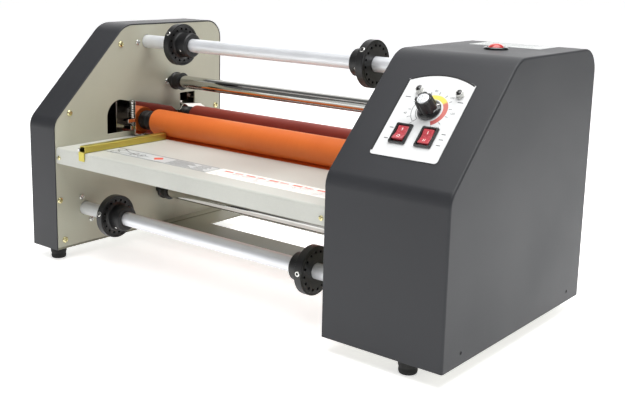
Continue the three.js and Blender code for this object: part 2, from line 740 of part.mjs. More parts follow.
function gearMotor() {
  const { face, box, end } = MOTOR;
  const bore = 4 + RUNNING;
  return turnX([
    [bore, face], [26, face], [26, box], [18.5, box], [18.5, end - 4], [16, end - 2], [5, end - 2],
    [5, end], [0, end], [0, 498], [bore, 498], [bore, face],
  ], MOTOR_GEAR.y, MOTOR_GEAR.z, FINE);
}

function controlBoard() {
  const low = BASE_TOP + GAP;
  const board = block(488, 176, low + 8, 562, 262, low + 9.6);
  const posts = [[492, 180], [558, 180], [492, 258], [558, 258]].map(([x, y]) =>
    post(3, x, y, low, low + 9));
  const transformer = block(496, 186, low + 9, 530, 216, low + 38);
  const relays = [0, 1, 2].map((i) => block(538, 184 + 18 * i, low + 9, 554, 198 + 18 * i, low + 24));
  const capacitors = [502, 516].map((x) => post(5, x, 228, low + 9, low + 28, 16));
  return join(board, ...posts, transformer, ...relays, ...capacitors);
}

function powerInlet() {
  const { x, z, flangeWidth, flangeHeight } = INLET;
  const centred = (w, h, from, to) => block(x - w / 2, from, z - h / 2, x + w / 2, to, z + h / 2);
  const back = DEPTH - SHEET - GAP;
  const flange = centred(flangeWidth, flangeHeight, back - 2.5, back);
  const whole = join(flange, centred(27, 19.8, back - 22, DEPTH - GAP));
  const pins = [-7, 0, 7].map((offset, i) => {
    const lift = i === 1 ? 2.2 : -2.2;
    return block(x + offset - 1, back - 19, z + lift - 2, x + offset + 1, back - 5, z + lift + 2);
  });
  return join(cut(whole, centred(24.2, 16.6, back - 18, DEPTH + 1)), ...pins);
}

function addPowerParts() {
  add('motor_bracket', motorBracket(), steel);
  add('gear_motor', gearMotor(), steel);
  add('control_board', controlBoard(), greenBoard);
  add('power_inlet', powerInlet(), black);
}

addHousings();
add('feed_table', feedTable(), paleWhite);
add('guide_bar', edgeGuide(), yellow);
addControls();
addMandrels();
addIdlers();
addRollers();
addBearings();
addGears();
addPowerParts();

export default laminator;
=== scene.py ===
import math

import bmesh
import bpy
from mathutils import Matrix, Vector


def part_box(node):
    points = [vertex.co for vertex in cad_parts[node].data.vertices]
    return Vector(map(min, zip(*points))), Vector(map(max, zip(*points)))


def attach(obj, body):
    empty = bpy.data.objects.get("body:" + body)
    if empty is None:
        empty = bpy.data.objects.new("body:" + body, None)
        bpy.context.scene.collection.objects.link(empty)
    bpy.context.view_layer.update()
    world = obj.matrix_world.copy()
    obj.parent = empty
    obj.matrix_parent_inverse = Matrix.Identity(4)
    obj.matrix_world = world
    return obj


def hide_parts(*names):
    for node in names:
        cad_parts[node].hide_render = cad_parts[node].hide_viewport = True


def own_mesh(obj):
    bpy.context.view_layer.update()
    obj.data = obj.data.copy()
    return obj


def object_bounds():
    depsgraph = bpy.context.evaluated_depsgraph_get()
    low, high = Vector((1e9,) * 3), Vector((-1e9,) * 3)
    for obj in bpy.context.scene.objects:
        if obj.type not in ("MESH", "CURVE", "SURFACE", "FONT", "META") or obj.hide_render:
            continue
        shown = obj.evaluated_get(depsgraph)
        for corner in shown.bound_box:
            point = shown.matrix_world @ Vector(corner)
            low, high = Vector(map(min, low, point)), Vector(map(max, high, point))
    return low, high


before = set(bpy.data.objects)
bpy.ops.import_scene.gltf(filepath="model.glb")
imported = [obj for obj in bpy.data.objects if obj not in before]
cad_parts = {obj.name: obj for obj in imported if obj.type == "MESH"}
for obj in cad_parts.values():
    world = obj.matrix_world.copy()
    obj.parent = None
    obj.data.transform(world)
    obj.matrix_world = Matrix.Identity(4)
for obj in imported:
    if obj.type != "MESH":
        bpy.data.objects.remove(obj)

# ---- the machine's own measure ----
# Millimetres from the slim housing's outer face (x), the front edge (y) and the floor (z).
MM = 0.001
LOW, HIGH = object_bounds()
WIDTH = (HIGH.x - LOW.x) / MM
DEPTH = (HIGH.y - LOW.y) / MM
MACHINE = Matrix.Translation((LOW.x, LOW.y, 0)) @ Matrix.Scale(MM, 4)
TURNED = Matrix(((0, 0, 1, 0), (1, 0, 0, 0), (0, 1, 0, 0), (0, 0, 0, 1)))
ACROSS = MACHINE @ TURNED


def extent(node):
    """A CAD node's lowest and highest corner in the machine's millimetres."""
    return tuple(MACHINE.inverted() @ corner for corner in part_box(node))


def middle(node):
    low, high = extent(node)
    return (low + high) / 2


HOUSING_LOW = extent("left_cover")[0].z
HOUSING_TOP = extent("left_cover")[1].z
SLIM_FACE = extent("left_cover")[1].x
CONTROL_FACE = extent("right_cover")[0].x
MIRROR = SLIM_FACE + CONTROL_FACE
BEARING_END = 68
SPRING_AXIS = (50.9, 115.6)
JOURNAL = 8.12
COVER_SCREW = {"panel": (1.6, 1.0), "rear": (2.6, 1.0)}
SLOPE_FOOT = 168
BENDS = (22, 32, 24)
SLOPE_RUN = HOUSING_TOP - SLOPE_FOOT
SHEET = 1.5
PLATE = 2
GAP = 0.3
SLOPE = MACHINE @ Matrix.Translation((0, 0, SLOPE_FOOT)) @ Matrix.Rotation(math.radians(45), 4, "X")

SWITCH_ALONG = 56.2
SWITCHES = {"power": {"x": 497.5, "rest": -7}, "direction": {"x": 524.2, "rest": 0}}
KNOB = {"x": 513, "along": 85.2}
LAMPS = {"left_indicator": 494.1, "right_indicator": 535.8}
LAMP_ALONG = 105.2
PANEL = {"left": 475.8, "right": 545.5, "low": 31.4, "shoulder": 117.9, "crown": 126.3, "top": 1.1}
DOME = {"x": 514, "y": 175}


# ---- mesh tools ----
def fresh_object(name, mesh):
    piece = bpy.data.objects.new(name, mesh)
    bpy.context.scene.collection.objects.link(piece)
    return piece


def evaluated(piece):
    """The piece's mesh with its modifiers applied."""
    bpy.context.view_layer.update()
    ready = piece.evaluated_get(bpy.context.evaluated_depsgraph_get())
    return bpy.data.meshes.new_from_object(ready)


def from_bmesh(shape, place=None):
    """A clean mesh with its doubles merged and its faces pointing out."""
    bmesh.ops.remove_doubles(shape, verts=shape.verts, dist=1e-4)
    bmesh.ops.recalc_face_normals(shape, faces=shape.faces)
    mesh = bpy.data.meshes.new("shape")
    shape.to_mesh(mesh)
    shape.free()
    if place is not None:
        mesh.transform(place)
    return mesh


def outward(mesh, place=None):
    """The same mesh cleaned, with its faces pointing out."""
    shape = bmesh.new()
    shape.from_mesh(mesh)
    return from_bmesh(shape, place)


def joined(*meshes):
    shape = bmesh.new()
    for mesh in meshes:
        shape.from_mesh(mesh)
    mesh = bpy.data.meshes.new("shape")
    shape.to_mesh(mesh)
    shape.free()
    return mesh


def loft(rings, closed=False):
    """Skins a row of rings that all have as many points; open rows get a flat end at each end."""
    shape = bmesh.new()
    rows = [[shape.verts.new(point) for point in ring] for ring in rings]
    pairs = list(zip(rows, rows[1:])) + ([(rows[-1], rows[0])] if closed else [])
    for lower, upper in pairs:
        for i in range(len(lower)):
            j = (i + 1) % len(lower)
            shape.faces.new((lower[i], lower[j], upper[j], upper[i]))
    if not closed:
        shape.faces.new(rows[0])
        shape.faces.new(rows[-1])
    return shape


def lathe(profile, place, segments=64, closed=False):
    """Turns (radius, height) points round the local Z axis; a profile may start and end on the axis."""
    shape = bmesh.new()
    rows = []
    for radius, height in profile:
        if radius < 1e-6:
            rows.append([shape.verts.new((0, 0, height))])
            continue
        angles = [2 * math.pi * i / segments for i in range(segments)]
        rows.append([shape.verts.new((radius * math.cos(a), radius * math.sin(a), height)) for a in angles])
    pairs = list(zip(rows, rows[1:])) + ([(rows[-1], rows[0])] if closed else [])
    for lower, upper in pairs:
        for i in range(segments):
            j = (i + 1) % segments
            if len(lower) == 1:
                shape.faces.new((lower[0], upper[j], upper[i]))
            elif len(upper) == 1:
                shape.faces.new((lower[i], lower[j], upper[0]))
            else:
                shape.faces.new((lower[i], lower[j], upper[j], upper[i]))
    return from_bmesh(shape, place)


def eased(profile, radius, steps=3, closed=False):
    """The same profile with each inner corner rounded by a short arc."""
    points = [Vector(point) for point in profile]
    count = len(points)
    result = []
    for i, corner in enumerate(points):
        if not closed and i in (0, count - 1):
            result.append(tuple(corner))
            continue
        before, after = points[i - 1] - corner, points[(i + 1) % count] - corner
        cut = min(radius, before.length * 0.45, after.length * 0.45)
        start, end = corner + before.normalized() * cut, corner + after.normalized() * cut
        for step in range(steps + 1):
            t = step / steps
            result.append(tuple(start * (1 - t) ** 2 + corner * 2 * t * (1 - t) + end * t ** 2))
    return result


def arc(centre, radius, start, end, steps=16):
    """Points on an arc in a plane, from one angle to another in degrees."""
    angles = [math.radians(start + (end - start) * i / steps) for i in range(steps + 1)]
    return [(centre[0] + radius * math.cos(a), centre[1] + radius * math.sin(a)) for a in angles]


def circle(centre, radius, steps=32):
    return arc(centre, radius, 0, 360, steps)[:-1]


def rectangle(x0, y0, x1, y1, radius=0.0, steps=5):
    """A rectangle, anticlockwise, with round corners if a radius is given."""
    if radius <= 0:
        return [(x0, y0), (x1, y0), (x1, y1), (x0, y1)]
    centres = [(x1 - radius, y0 + radius, -90), (x1 - radius, y1 - radius, 0),
               (x0 + radius, y1 - radius, 90), (x0 + radius, y0 + radius, 180)]
    return [point for cx, cy, turn in centres for point in arc((cx, cy), radius, turn, turn + 90, steps)]


def plate(outline, low, high, place, holes=(), bevel=0.3, rounds=2):
    """A flat plate between two heights, with holes through it and its edges eased."""
    curve = bpy.data.curves.new("plate", "CURVE")
    curve.dimensions, curve.fill_mode = "2D", "BOTH"
    for loop in (outline, *holes):
        spline = curve.splines.new("POLY")
        spline.points.add(len(loop) - 1)
        spline.points.foreach_set("co", [value for x, y in loop for value in (x, y, 0, 1)])
        spline.use_cyclic_u = True
    curve.extrude = (high - low) / 2 - bevel
    curve.bevel_depth, curve.bevel_resolution, curve.offset = bevel, rounds, -bevel
    piece = fresh_object("plate", curve)
    mesh = evaluated(piece)
    bpy.data.objects.remove(piece)
    bpy.data.curves.remove(curve)
    return outward(mesh, place @ Matrix.Translation((0, 0, (low + high) / 2)))


def box(low, high, place=MACHINE, bevel=0.3):
    """A block with eased edges, between two corners."""
    outline = rectangle(low[0], low[1], high[0], high[1], bevel * 1.2, 2)
    return plate(outline, low[2], high[2], place, bevel=bevel)


def cut(mesh, *tools):
    """The mesh with the tools taken out of it."""
    piece, tool = fresh_object("whole", mesh), fresh_object("tool", joined(*tools))
    boolean = piece.modifiers.new("cut", "BOOLEAN")
    boolean.operation, boolean.solver, boolean.object = "DIFFERENCE", "EXACT", tool
    result = evaluated(piece)
    bpy.data.objects.remove(piece)
    bpy.data.objects.remove(tool)
    return result


def along_x(y, z):
    """Turns a lathe's own axis to run along the machine's X at a height and depth."""
    return ACROSS @ Matrix.Translation((y, z, 0))


def upright(x, y):
    return MACHINE @ Matrix.Translation((x, y, 0))


def on_slope(x, along, turn=0.0):
    return SLOPE @ Matrix.Translation((x, along, 0)) @ Matrix.Rotation(math.radians(turn), 4, "Z")


def both_ends():
    """Each end's side and its frames, straight and turned across; the right end mirrors the left."""
    mirrored = MACHINE @ Matrix.Translation((MIRROR, 0, 0)) @ Matrix.Scale(-1, 4, (1, 0, 0))
    ends = (("left", MACHINE), ("right", mirrored))
    return [(side, straight, straight @ TURNED) for side, straight in ends]


def settle(name, mesh, finish, body="frame", stands_for=(), sharp=32):
    """Makes the mesh a named piece: smooth between its sharp edges, in its finish, on its body."""
    mesh.name = name
    mesh.materials.clear()
    mesh.materials.append(finish)
    mesh.polygons.foreach_set("material_index", [0] * len(mesh.polygons))
    mesh.shade_smooth()
    mesh.set_sharp_from_angle(angle=math.radians(sharp))
    piece = fresh_object(name, mesh)
    weighted = piece.modifiers.new("flat faces", "WEIGHTED_NORMAL")
    weighted.keep_sharp = True
    even = evaluated(piece)
    piece.modifiers.clear()
    piece.data = even
    even.name = name
    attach(piece, body)
    if stands_for:
        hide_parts(*([stands_for] if isinstance(stands_for, str) else stands_for))
    return piece


# ---- geometry node trees ----
def new_tree(name, sockets):
    """An empty tree with a geometry way in, named inputs and a geometry way out."""
    group = bpy.data.node_groups.new(name, "GeometryNodeTree")
    group.interface.new_socket("Geometry", in_out="INPUT", socket_type="NodeSocketGeometry")
    for label, kind, value in sockets:
        socket = group.interface.new_socket(label, in_out="INPUT", socket_type=kind)
        if value is not None:
            socket.default_value = value
    group.interface.new_socket("Geometry", in_out="OUTPUT", socket_type="NodeSocketGeometry")
    return group, group.nodes.new("NodeGroupInput"), group.nodes.new("NodeGroupOutput")


def close_tree(group, source, geometry, output):
    """Ends a tree: real geometry instead of instances, in the chosen material."""
    realise = group.nodes.new("GeometryNodeRealizeInstances")
    paint = group.nodes.new("GeometryNodeSetMaterial")
    group.links.new(geometry, realise.inputs["Geometry"])
    group.links.new(realise.outputs["Geometry"], paint.inputs["Geometry"])
    group.links.new(source.outputs["Material"], paint.inputs["Material"])
    group.links.new(paint.outputs["Geometry"], output.inputs["Geometry"])
    return group


def grow(group, values, host=None):
    """Runs a tree on a host mesh and gives back the plain mesh that it makes."""
    piece = fresh_object("host", host or bpy.data.meshes.new("host"))
    modifier = piece.modifiers.new("tree", "NODES")
    modifier.node_group = group
    names = {item.name: item.identifier for item in group.interface.items_tree if item.in_out == "INPUT"}
    for label, value in values.items():
        modifier[names[label]] = value
    mesh = evaluated(piece)
    bpy.data.objects.remove(piece)
    return mesh


def math_node(group, operation, first, second):
    node = group.nodes.new("ShaderNodeMath")
    node.operation = operation
    for socket, value in zip(node.inputs, (first, second)):
        if isinstance(value, (int, float)):
            socket.default_value = value
        else:
            group.links.new(value, socket)
    return node.outputs[0]


def screw_tree():
    """Puts the chosen screw on each vertex of the host, facing along its "facing" attribute."""
    group, source, output = new_tree("screws_on_points", [
        ("Screw", "NodeSocketObject", None), ("Seed", "NodeSocketInt", 3),
        ("Material", "NodeSocketMaterial", None)])
    shape = group.nodes.new("GeometryNodeObjectInfo")
    facing = group.nodes.new("GeometryNodeInputNamedAttribute")
    facing.data_type = "FLOAT_VECTOR"
    facing.inputs["Name"].default_value = "facing"
    align = group.nodes.new("FunctionNodeAlignRotationToVector")
    align.axis = "Z"
    spin = group.nodes.new("FunctionNodeRandomValue")
    spin.data_type = "FLOAT"
    turned = group.nodes.new("FunctionNodeAxisAngleToRotation")
    turned.inputs["Axis"].default_value = (0, 0, 1)
    rotate = group.nodes.new("FunctionNodeRotateRotation")
    rotate.rotation_space = "LOCAL"
    place = group.nodes.new("GeometryNodeInstanceOnPoints")
    link = group.links.new
    link(source.outputs["Screw"], shape.inputs["Object"])
    link(source.outputs["Seed"], spin.inputs["Seed"])
    link(facing.outputs["Attribute"], align.inputs["Vector"])
    link(math_node(group, "MULTIPLY", spin.outputs[1], math.pi), turned.inputs["Angle"])
    link(align.outputs["Rotation"], rotate.inputs["Rotation"])
    link(turned.outputs["Rotation"], rotate.inputs["Rotate By"])
    link(source.outputs["Geometry"], place.inputs["Points"])
    link(shape.outputs["Geometry"], place.inputs["Instance"])
    link(rotate.outputs["Rotation"], place.inputs["Rotation"])
    return close_tree(group, source, place.outputs["Instances"], output)


def ring_tree():
    """Repeats the host round the Z axis, at a radius and turned to face outwards."""
    group, source, output = new_tree("ring_of_copies", [
        ("Count", "NodeSocketInt", 12), ("Radius", "NodeSocketFloat", 1.0), ("Start", "NodeSocketFloat", 0.0),
        ("Step", "NodeSocketFloat", 0.5), ("Material", "NodeSocketMaterial", None)])
    line = group.nodes.new("GeometryNodeMeshLine")
    line.inputs["Offset"].default_value = (0, 0, 0)
    index = group.nodes.new("GeometryNodeInputIndex")
    angle = math_node(group, "MULTIPLY", index.outputs["Index"], source.outputs["Step"])
    angle = math_node(group, "ADD", angle, source.outputs["Start"])
    turn = group.nodes.new("ShaderNodeCombineXYZ")
    centre = group.nodes.new("ShaderNodeCombineXYZ")
    cosine = math_node(group, "COSINE", angle, 0)
    sine = math_node(group, "SINE", angle, 0)
    place = group.nodes.new("GeometryNodeInstanceOnPoints")
    moved = group.nodes.new("GeometryNodeSetPosition")
    link = group.links.new
    link(source.outputs["Count"], line.inputs["Count"])
    link(math_node(group, "MULTIPLY", cosine, source.outputs["Radius"]), centre.inputs["X"])
    link(math_node(group, "MULTIPLY", sine, source.outputs["Radius"]), centre.inputs["Y"])
    link(angle, turn.inputs["Z"])
    link(line.outputs["Mesh"], moved.inputs["Geometry"])
    link(centre.outputs["Vector"], moved.inputs["Position"])
    link(moved.outputs["Geometry"], place.inputs["Points"])
    link(source.outputs["Geometry"], place.inputs["Instance"])
    link(turn.outputs["Vector"], place.inputs["Rotation"])
    return close_tree(group, source, place.outputs["Instances"], output)


def grid_tree():
    """Repeats the host in rows and columns round the origin."""
    group, source, output = new_tree("rows_of_copies", [
        ("Across", "NodeSocketInt", 9), ("Up", "NodeSocketInt", 2), ("Width", "NodeSocketFloat", 1.0),
        ("Height", "NodeSocketFloat", 1.0), ("Material", "NodeSocketMaterial", None)])
    grid = group.nodes.new("GeometryNodeMeshGrid")
    place = group.nodes.new("GeometryNodeInstanceOnPoints")
    link = group.links.new
    for label, socket in (("Across", "Vertices X"), ("Up", "Vertices Y"), ("Width", "Size X"),
                          ("Height", "Size Y")):
        link(source.outputs[label], grid.inputs[socket])
    link(grid.outputs["Mesh"], place.inputs["Points"])
    link(source.outputs["Geometry"], place.inputs["Instance"])
    return close_tree(group, source, place.outputs["Instances"], output)


def coil_tree():
    """A compression spring: a round wire wound up the Z axis."""
    group, source, output = new_tree("wound_spring", [
        ("Turns", "NodeSocketFloat", 6.0), ("Radius", "NodeSocketFloat", 1.0),
        ("Height", "NodeSocketFloat", 1.0),
        ("Wire", "NodeSocketFloat", 0.1), ("Material", "NodeSocketMaterial", None)])
    spiral = group.nodes.new("GeometryNodeCurveSpiral")
    spiral.inputs["Resolution"].default_value = 32
    section = group.nodes.new("GeometryNodeCurvePrimitiveCircle")
    section.inputs["Resolution"].default_value = 10
    sweep = group.nodes.new("GeometryNodeCurveToMesh")
    sweep.inputs["Fill Caps"].default_value = True
    link = group.links.new
    link(source.outputs["Turns"], spiral.inputs["Rotations"])
    link(source.outputs["Radius"], spiral.inputs["Start Radius"])
    link(source.outputs["Radius"], spiral.inputs["End Radius"])
    link(source.outputs["Height"], spiral.inputs["Height"])
    link(source.outputs["Wire"], section.inputs["Radius"])
    link(spiral.outputs["Curve"], sweep.inputs["Curve"])
    link(section.outputs["Curve"], sweep.inputs["Profile Curve"])
    return close_tree(group, source, sweep.outputs["Mesh"], output)


def flute_tree():
    """Presses a ring of round flutes into the host, which stands on the Z axis."""
    group, source, output = new_tree("pressed_flutes", [
        ("Flutes", "NodeSocketInt", 10), ("Depth", "NodeSocketFloat", 0.1), ("Foot", "NodeSocketFloat", 0.0),
        ("Material", "NodeSocketMaterial", None)])
    position = group.nodes.new("GeometryNodeInputPosition")
    apart = group.nodes.new("ShaderNodeSeparateXYZ")
    scale = group.nodes.new("ShaderNodeCombineXYZ")
    product = group.nodes.new("ShaderNodeVectorMath")
    product.operation = "MULTIPLY"
    moved = group.nodes.new("GeometryNodeSetPosition")
    link = group.links.new
    link(position.outputs["Position"], apart.inputs["Vector"])
    angle = math_node(group, "ARCTAN2", apart.outputs["Y"], apart.outputs["X"])
    wave = math_node(group, "COSINE", math_node(group, "MULTIPLY", angle, source.outputs["Flutes"]), 0)
    lifted = math_node(group, "ADD", wave, 1.0)
    dip = math_node(group, "POWER", math_node(group, "MULTIPLY", lifted, 0.5), 1.6)
    above = math_node(group, "GREATER_THAN", apart.outputs["Z"], source.outputs["Foot"])
    press = math_node(group, "MULTIPLY", math_node(group, "MULTIPLY", dip, source.outputs["Depth"]), above)
    share = math_node(group, "SUBTRACT", 1.0, press)
    link(share, scale.inputs["X"])
    link(share, scale.inputs["Y"])
    scale.inputs["Z"].default_value = 1
    link(position.outputs["Position"], product.inputs[0])
    link(scale.outputs["Vector"], product.inputs[1])
    link(source.outputs["Geometry"], moved.inputs["Geometry"])
    link(product.outputs["Vector"], moved.inputs["Position"])
    return close_tree(group, source, moved.outputs["Geometry"], output)


SCREWS_ON_POINTS = screw_tree()
RING_OF_COPIES = ring_tree()
ROWS_OF_COPIES = grid_tree()
WOUND_SPRING = coil_tree()
PRESSED_FLUTES = flute_tree()


# ---- finishes ----
def shade(red, green, blue):
    """A colour as a paint card gives it, 0 to 255, turned into linear light."""
    shares = [c / 255 for c in (red, green, blue)]
    return tuple(((c + 0.055) / 1.055) ** 2.4 if c > 10 / 255 else c / 12.92 for c in shares) + (1,)


class Finish:
    """A surface whose colour, gloss and relief each vary a little."""

    def __init__(self, name, colour, roughness, metallic=0.0, **sockets):
        self.material = bpy.data.materials.new(name)
        self.material.use_nodes = True
        self.tree = self.material.node_tree
        self.surface = self.tree.nodes["Principled BSDF"]
        self.surface.inputs["Base Color"].default_value = colour
        self.surface.inputs["Roughness"].default_value = roughness
        self.surface.inputs["Metallic"].default_value = metallic
        for label, value in sockets.items():
            self.surface.inputs[label.replace("_", " ").title().replace("Ior", "IOR")].default_value = value
        self.place = self.tree.nodes.new("ShaderNodeTexCoord").outputs["Object"]

    def add(self, kind, **inputs):
        node = self.tree.nodes.new(kind)
        for label, value in inputs.items():
            self.feed(node.inputs[label.replace("_", " ")], value)
        return node

    def feed(self, socket, value):
        if isinstance(value, bpy.types.NodeSocket):
            self.tree.links.new(value, socket)
        else:
            socket.default_value = value

    def stretched(self, scale, centre=(0, 0, 0), turn=(0, 0, 0)):
        """Object coordinates about a centre, turned and then stretched."""
        moved = self.add("ShaderNodeMapping", Vector=self.place, Location=centre, Rotation=turn)
        moved.vector_type = "TEXTURE"
        return self.add("ShaderNodeMapping", Vector=moved.outputs["Vector"], Scale=scale).outputs["Vector"]

    def noise(self, scale, detail=3.0, stretch=(1, 1, 1)):
        return self.add("ShaderNodeTexNoise", Vector=self.stretched(stretch), Scale=scale,
                        Detail=detail).outputs["Fac"]

    def cells(self, scale):
        return self.add("ShaderNodeTexVoronoi", Vector=self.place, Scale=scale).outputs["Distance"]

    def ramp(self, factor, *stops):
        node = self.add("ShaderNodeValToRGB", Fac=factor)
        marks = node.color_ramp.elements
        while len(marks) < len(stops):
            marks.new(1)
        for mark, (position, colour) in zip(marks, stops):
            mark.position, mark.color = position, colour
        return node.outputs["Color"]

    def ranged(self, factor, low, high, start=0.3, end=0.7):
        return self.add("ShaderNodeMapRange", Value=factor, From_Min=start, From_Max=end, To_Min=low,
                        To_Max=high).outputs["Result"]

    def mixed(self, factor, first, second):
        node = self.add("ShaderNodeMix")
        node.data_type = "RGBA"
        for socket, value in zip((node.inputs[0], node.inputs[6], node.inputs[7]), (factor, first, second)):
            self.feed(socket, value)
        return node.outputs[2]

    def colour(self, value):
        self.feed(self.surface.inputs["Base Color"], value)
        return self

    def gloss(self, factor, low, high):
        self.feed(self.surface.inputs["Roughness"], self.ranged(factor, low, high))
        return self

    def relief(self, height, depth, strength=1.0):
        """Adds a bump of that depth in metres, on top of any that is there."""
        bump = self.add("ShaderNodeBump", Height=height, Distance=depth, Strength=strength)
        before = self.surface.inputs["Normal"]
        if before.is_linked:
            self.tree.links.new(before.links[0].from_socket, bump.inputs["Normal"])
        self.tree.links.new(bump.outputs["Normal"], before)
        return self

    def edges(self, radius):
        """1 on a sharp outer edge and 0 on the flat."""
        soft = self.add("ShaderNodeBevel", Radius=radius).outputs["Normal"]
        true = self.add("ShaderNodeNewGeometry").outputs["Normal"]
        dot = self.add("ShaderNodeVectorMath")
        dot.operation = "DOT_PRODUCT"
        self.feed(dot.inputs[0], soft)
        self.feed(dot.inputs[1], true)
        return self.ranged(dot.outputs["Value"], 1, 0, 0.80, 0.97)


def tone(colour, share):
    """A colour made lighter or darker."""
    return tuple(min(1, c * share) for c in colour[:3]) + (1,)


def powder_coat(name, colour, grain, relief, roughness, edge_tint=None):
    """Baked powder paint: a fine orange peel, faint clouds, and a lighter colour on sharp outer edges in random
    patches.
    """
    finish = Finish(name, colour, roughness, Specular_ior_level=0.3)
    clouds = finish.noise(9, 4)
    speck = finish.noise(grain, 2)
    paint = finish.mixed(finish.ranged(clouds, 0, 1), tone(colour, 0.92), tone(colour, 1.08))
    paint = finish.mixed(finish.ranged(speck, 0, 0.5, 0.45, 0.75), paint, tone(colour, 1.35))
    # a lighter colour blended onto sharp outer edges, in random patches
    if edge_tint:
        edge_share = finish.add("ShaderNodeMath")
        edge_share.operation = "MULTIPLY"
        finish.feed(edge_share.inputs[0], finish.edges(0.0008))
        finish.feed(edge_share.inputs[1], finish.ranged(finish.noise(60, 3), 0.05, 0.6))
        paint = finish.mixed(edge_share.outputs[0], paint, edge_tint)
    finish.colour(paint).gloss(clouds, roughness - 0.06, roughness + 0.06)
    finish.relief(speck, relief)
    return finish.material


def charcoal_paint():
    return powder_coat("charcoal_paint", shade(46, 47, 50), 1500, 0.00008, 0.40, shade(96, 97, 100))


def grey_paint():
    return powder_coat("grey_paint", shade(168, 167, 151), 2200, 0.00003, 0.42, shade(208, 207, 196))


def table_paint():
    return powder_coat("table_paint", shade(190, 191, 184), 2600, 0.00002, 0.36)


def brushed_metal(name, colour, roughness, stretch, relief=0.00002, scale=500, spread=0.08,
                  metallic=1.0):
    """Metal with fine lines along one direction and soft stains."""
    finish = Finish(name, colour, roughness, metallic)
    lines = finish.noise(scale, 4, stretch)
    stains = finish.noise(25, 3)
    metal = finish.mixed(finish.ranged(stains, 0, 1), tone(colour, 0.93), tone(colour, 1.05))
    finish.colour(finish.mixed(finish.ranged(lines, 0, 0.5), metal, tone(colour, 0.86)))
    finish.gloss(lines, roughness - spread, roughness + spread)
    finish.relief(lines, relief)
    return finish.material


def silicone(name, colour, deep):
    """Moulded silicone rubber, ground round: matt, faintly banded along the roller, dusty in places."""
    finish = Finish(name, colour, 0.5, Specular_ior_level=0.35, Sheen_weight=0.12, Sheen_roughness=0.5)
    finish.surface.inputs["Sheen Tint"].default_value = tone(colour, 1.5)
    bands = finish.noise(700, 3, (1, 0.05, 0.05))
    bloom = finish.noise(14, 4)
    body = finish.mixed(finish.ranged(bloom, 0, 1), colour, deep)
    finish.colour(finish.mixed(finish.ranged(bands, 0, 0.12), body, tone(colour, 1.12)))
    finish.gloss(bloom, 0.42, 0.56)
    finish.relief(bands, 0.000008)
    return finish.material


def moulded_plastic(name, colour, roughness, coat=0.0):
    """Injection moulded plastic: spark-eroded grain, and a little dust."""
    finish = Finish(name, colour, roughness, Coat_weight=coat, Coat_roughness=0.12)
    grain = finish.noise(1800, 2)
    dust = finish.noise(40, 4)
    finish.colour(finish.mixed(finish.ranged(dust, 0, 0.6, 0.5, 0.8), colour, tone(colour, 1.9)))
    finish.gloss(dust, roughness - 0.05, roughness + 0.08)
    finish.relief(grain, 0.00003)
    return finish.material


def rubber(name):
    finish = Finish(name, shade(28, 28, 29), 0.8)
    grain = finish.noise(900, 3)
    dust = finish.noise(90, 4)
    finish.colour(finish.mixed(finish.ranged(dust, 0, 0.5, 0.5, 0.8), shade(26, 26, 27), shade(70, 69, 66)))
    finish.gloss(dust, 0.7, 0.9)
    finish.relief(grain, 0.00006)
    return finish.material


def clear_red(name, colour, deep):
    """Tinted see-through plastic with a ribbed underside that shows as soft cells."""
    finish = Finish(name, colour, 0.16, Coat_weight=0.6, Coat_roughness=0.05, Transmission_weight=0.25)
    cells = finish.cells(650)
    clouds = finish.noise(260, 2)
    body = finish.mixed(finish.ranged(clouds, 0, 1), colour, deep)
    finish.colour(finish.mixed(finish.ranged(cells, 0, 0.6, 0.2, 0.8), body, tone(colour, 1.5)))
    finish.gloss(clouds, 0.12, 0.22)
    finish.relief(cells, 0.00002)
    return finish.material


def printed(name, colour, roughness=0.4):
    """Screen ink or printed film: nearly even, with a fine dot and a little fading."""
    finish = Finish(name, colour, roughness)
    dots = finish.noise(2400, 2)
    fading = finish.noise(70, 3)
    ink = finish.mixed(finish.ranged(fading, 0, 1), tone(colour, 0.93), tone(colour, 1.04))
    finish.colour(finish.mixed(finish.ranged(dots, 0, 0.3), ink, tone(colour, 1.1)))
    finish.gloss(fading, roughness - 0.05, roughness + 0.06)
    finish.relief(dots, 0.000008)
    return finish.material


def heat_band():
    """The dial's ink: yellow at the top of the scale, running through orange to red."""
    centre = SLOPE @ Vector((KNOB["x"], KNOB["along"], 0))
    finish = Finish("heat_band_ink", shade(225, 90, 80), 0.4)
    flat = finish.stretched((1, 1, 1), tuple(centre), (math.radians(45), 0, 0))
    sweep = finish.add("ShaderNodeTexGradient", Vector=flat)
    sweep.gradient_type = "RADIAL"
    dots = finish.noise(2400, 2)
    fade = finish.ramp(sweep.outputs["Color"], (0.0, shade(180, 58, 70)), (0.32, shade(170, 52, 64)),
                       (0.42, shade(186, 84, 82)), (0.60, shade(196, 92, 84)), (0.625, shade(232, 218, 70)),
                       (0.8, shade(238, 228, 84)))
    finish.colour(finish.mixed(finish.ranged(dots, 0, 0.25), fade, shade(240, 190, 170)))
    finish.gloss(dots, 0.34, 0.44)
    return finish.material


def circuit_board():
    finish = Finish("circuit_board", shade(38, 96, 60), 0.4)
    tracks = finish.add("ShaderNodeTexBrick", Vector=finish.stretched((1, 1, 1)), Scale=160.0,
                        Color1=shade(34, 92, 56), Color2=shade(44, 108, 66), Mortar=shade(60, 130, 80))
    finish.colour(tracks.outputs["Color"])
    finish.gloss(finish.noise(80, 3), 0.3, 0.45)
    finish.relief(tracks.outputs["Fac"], 0.00004)
    return finish.material


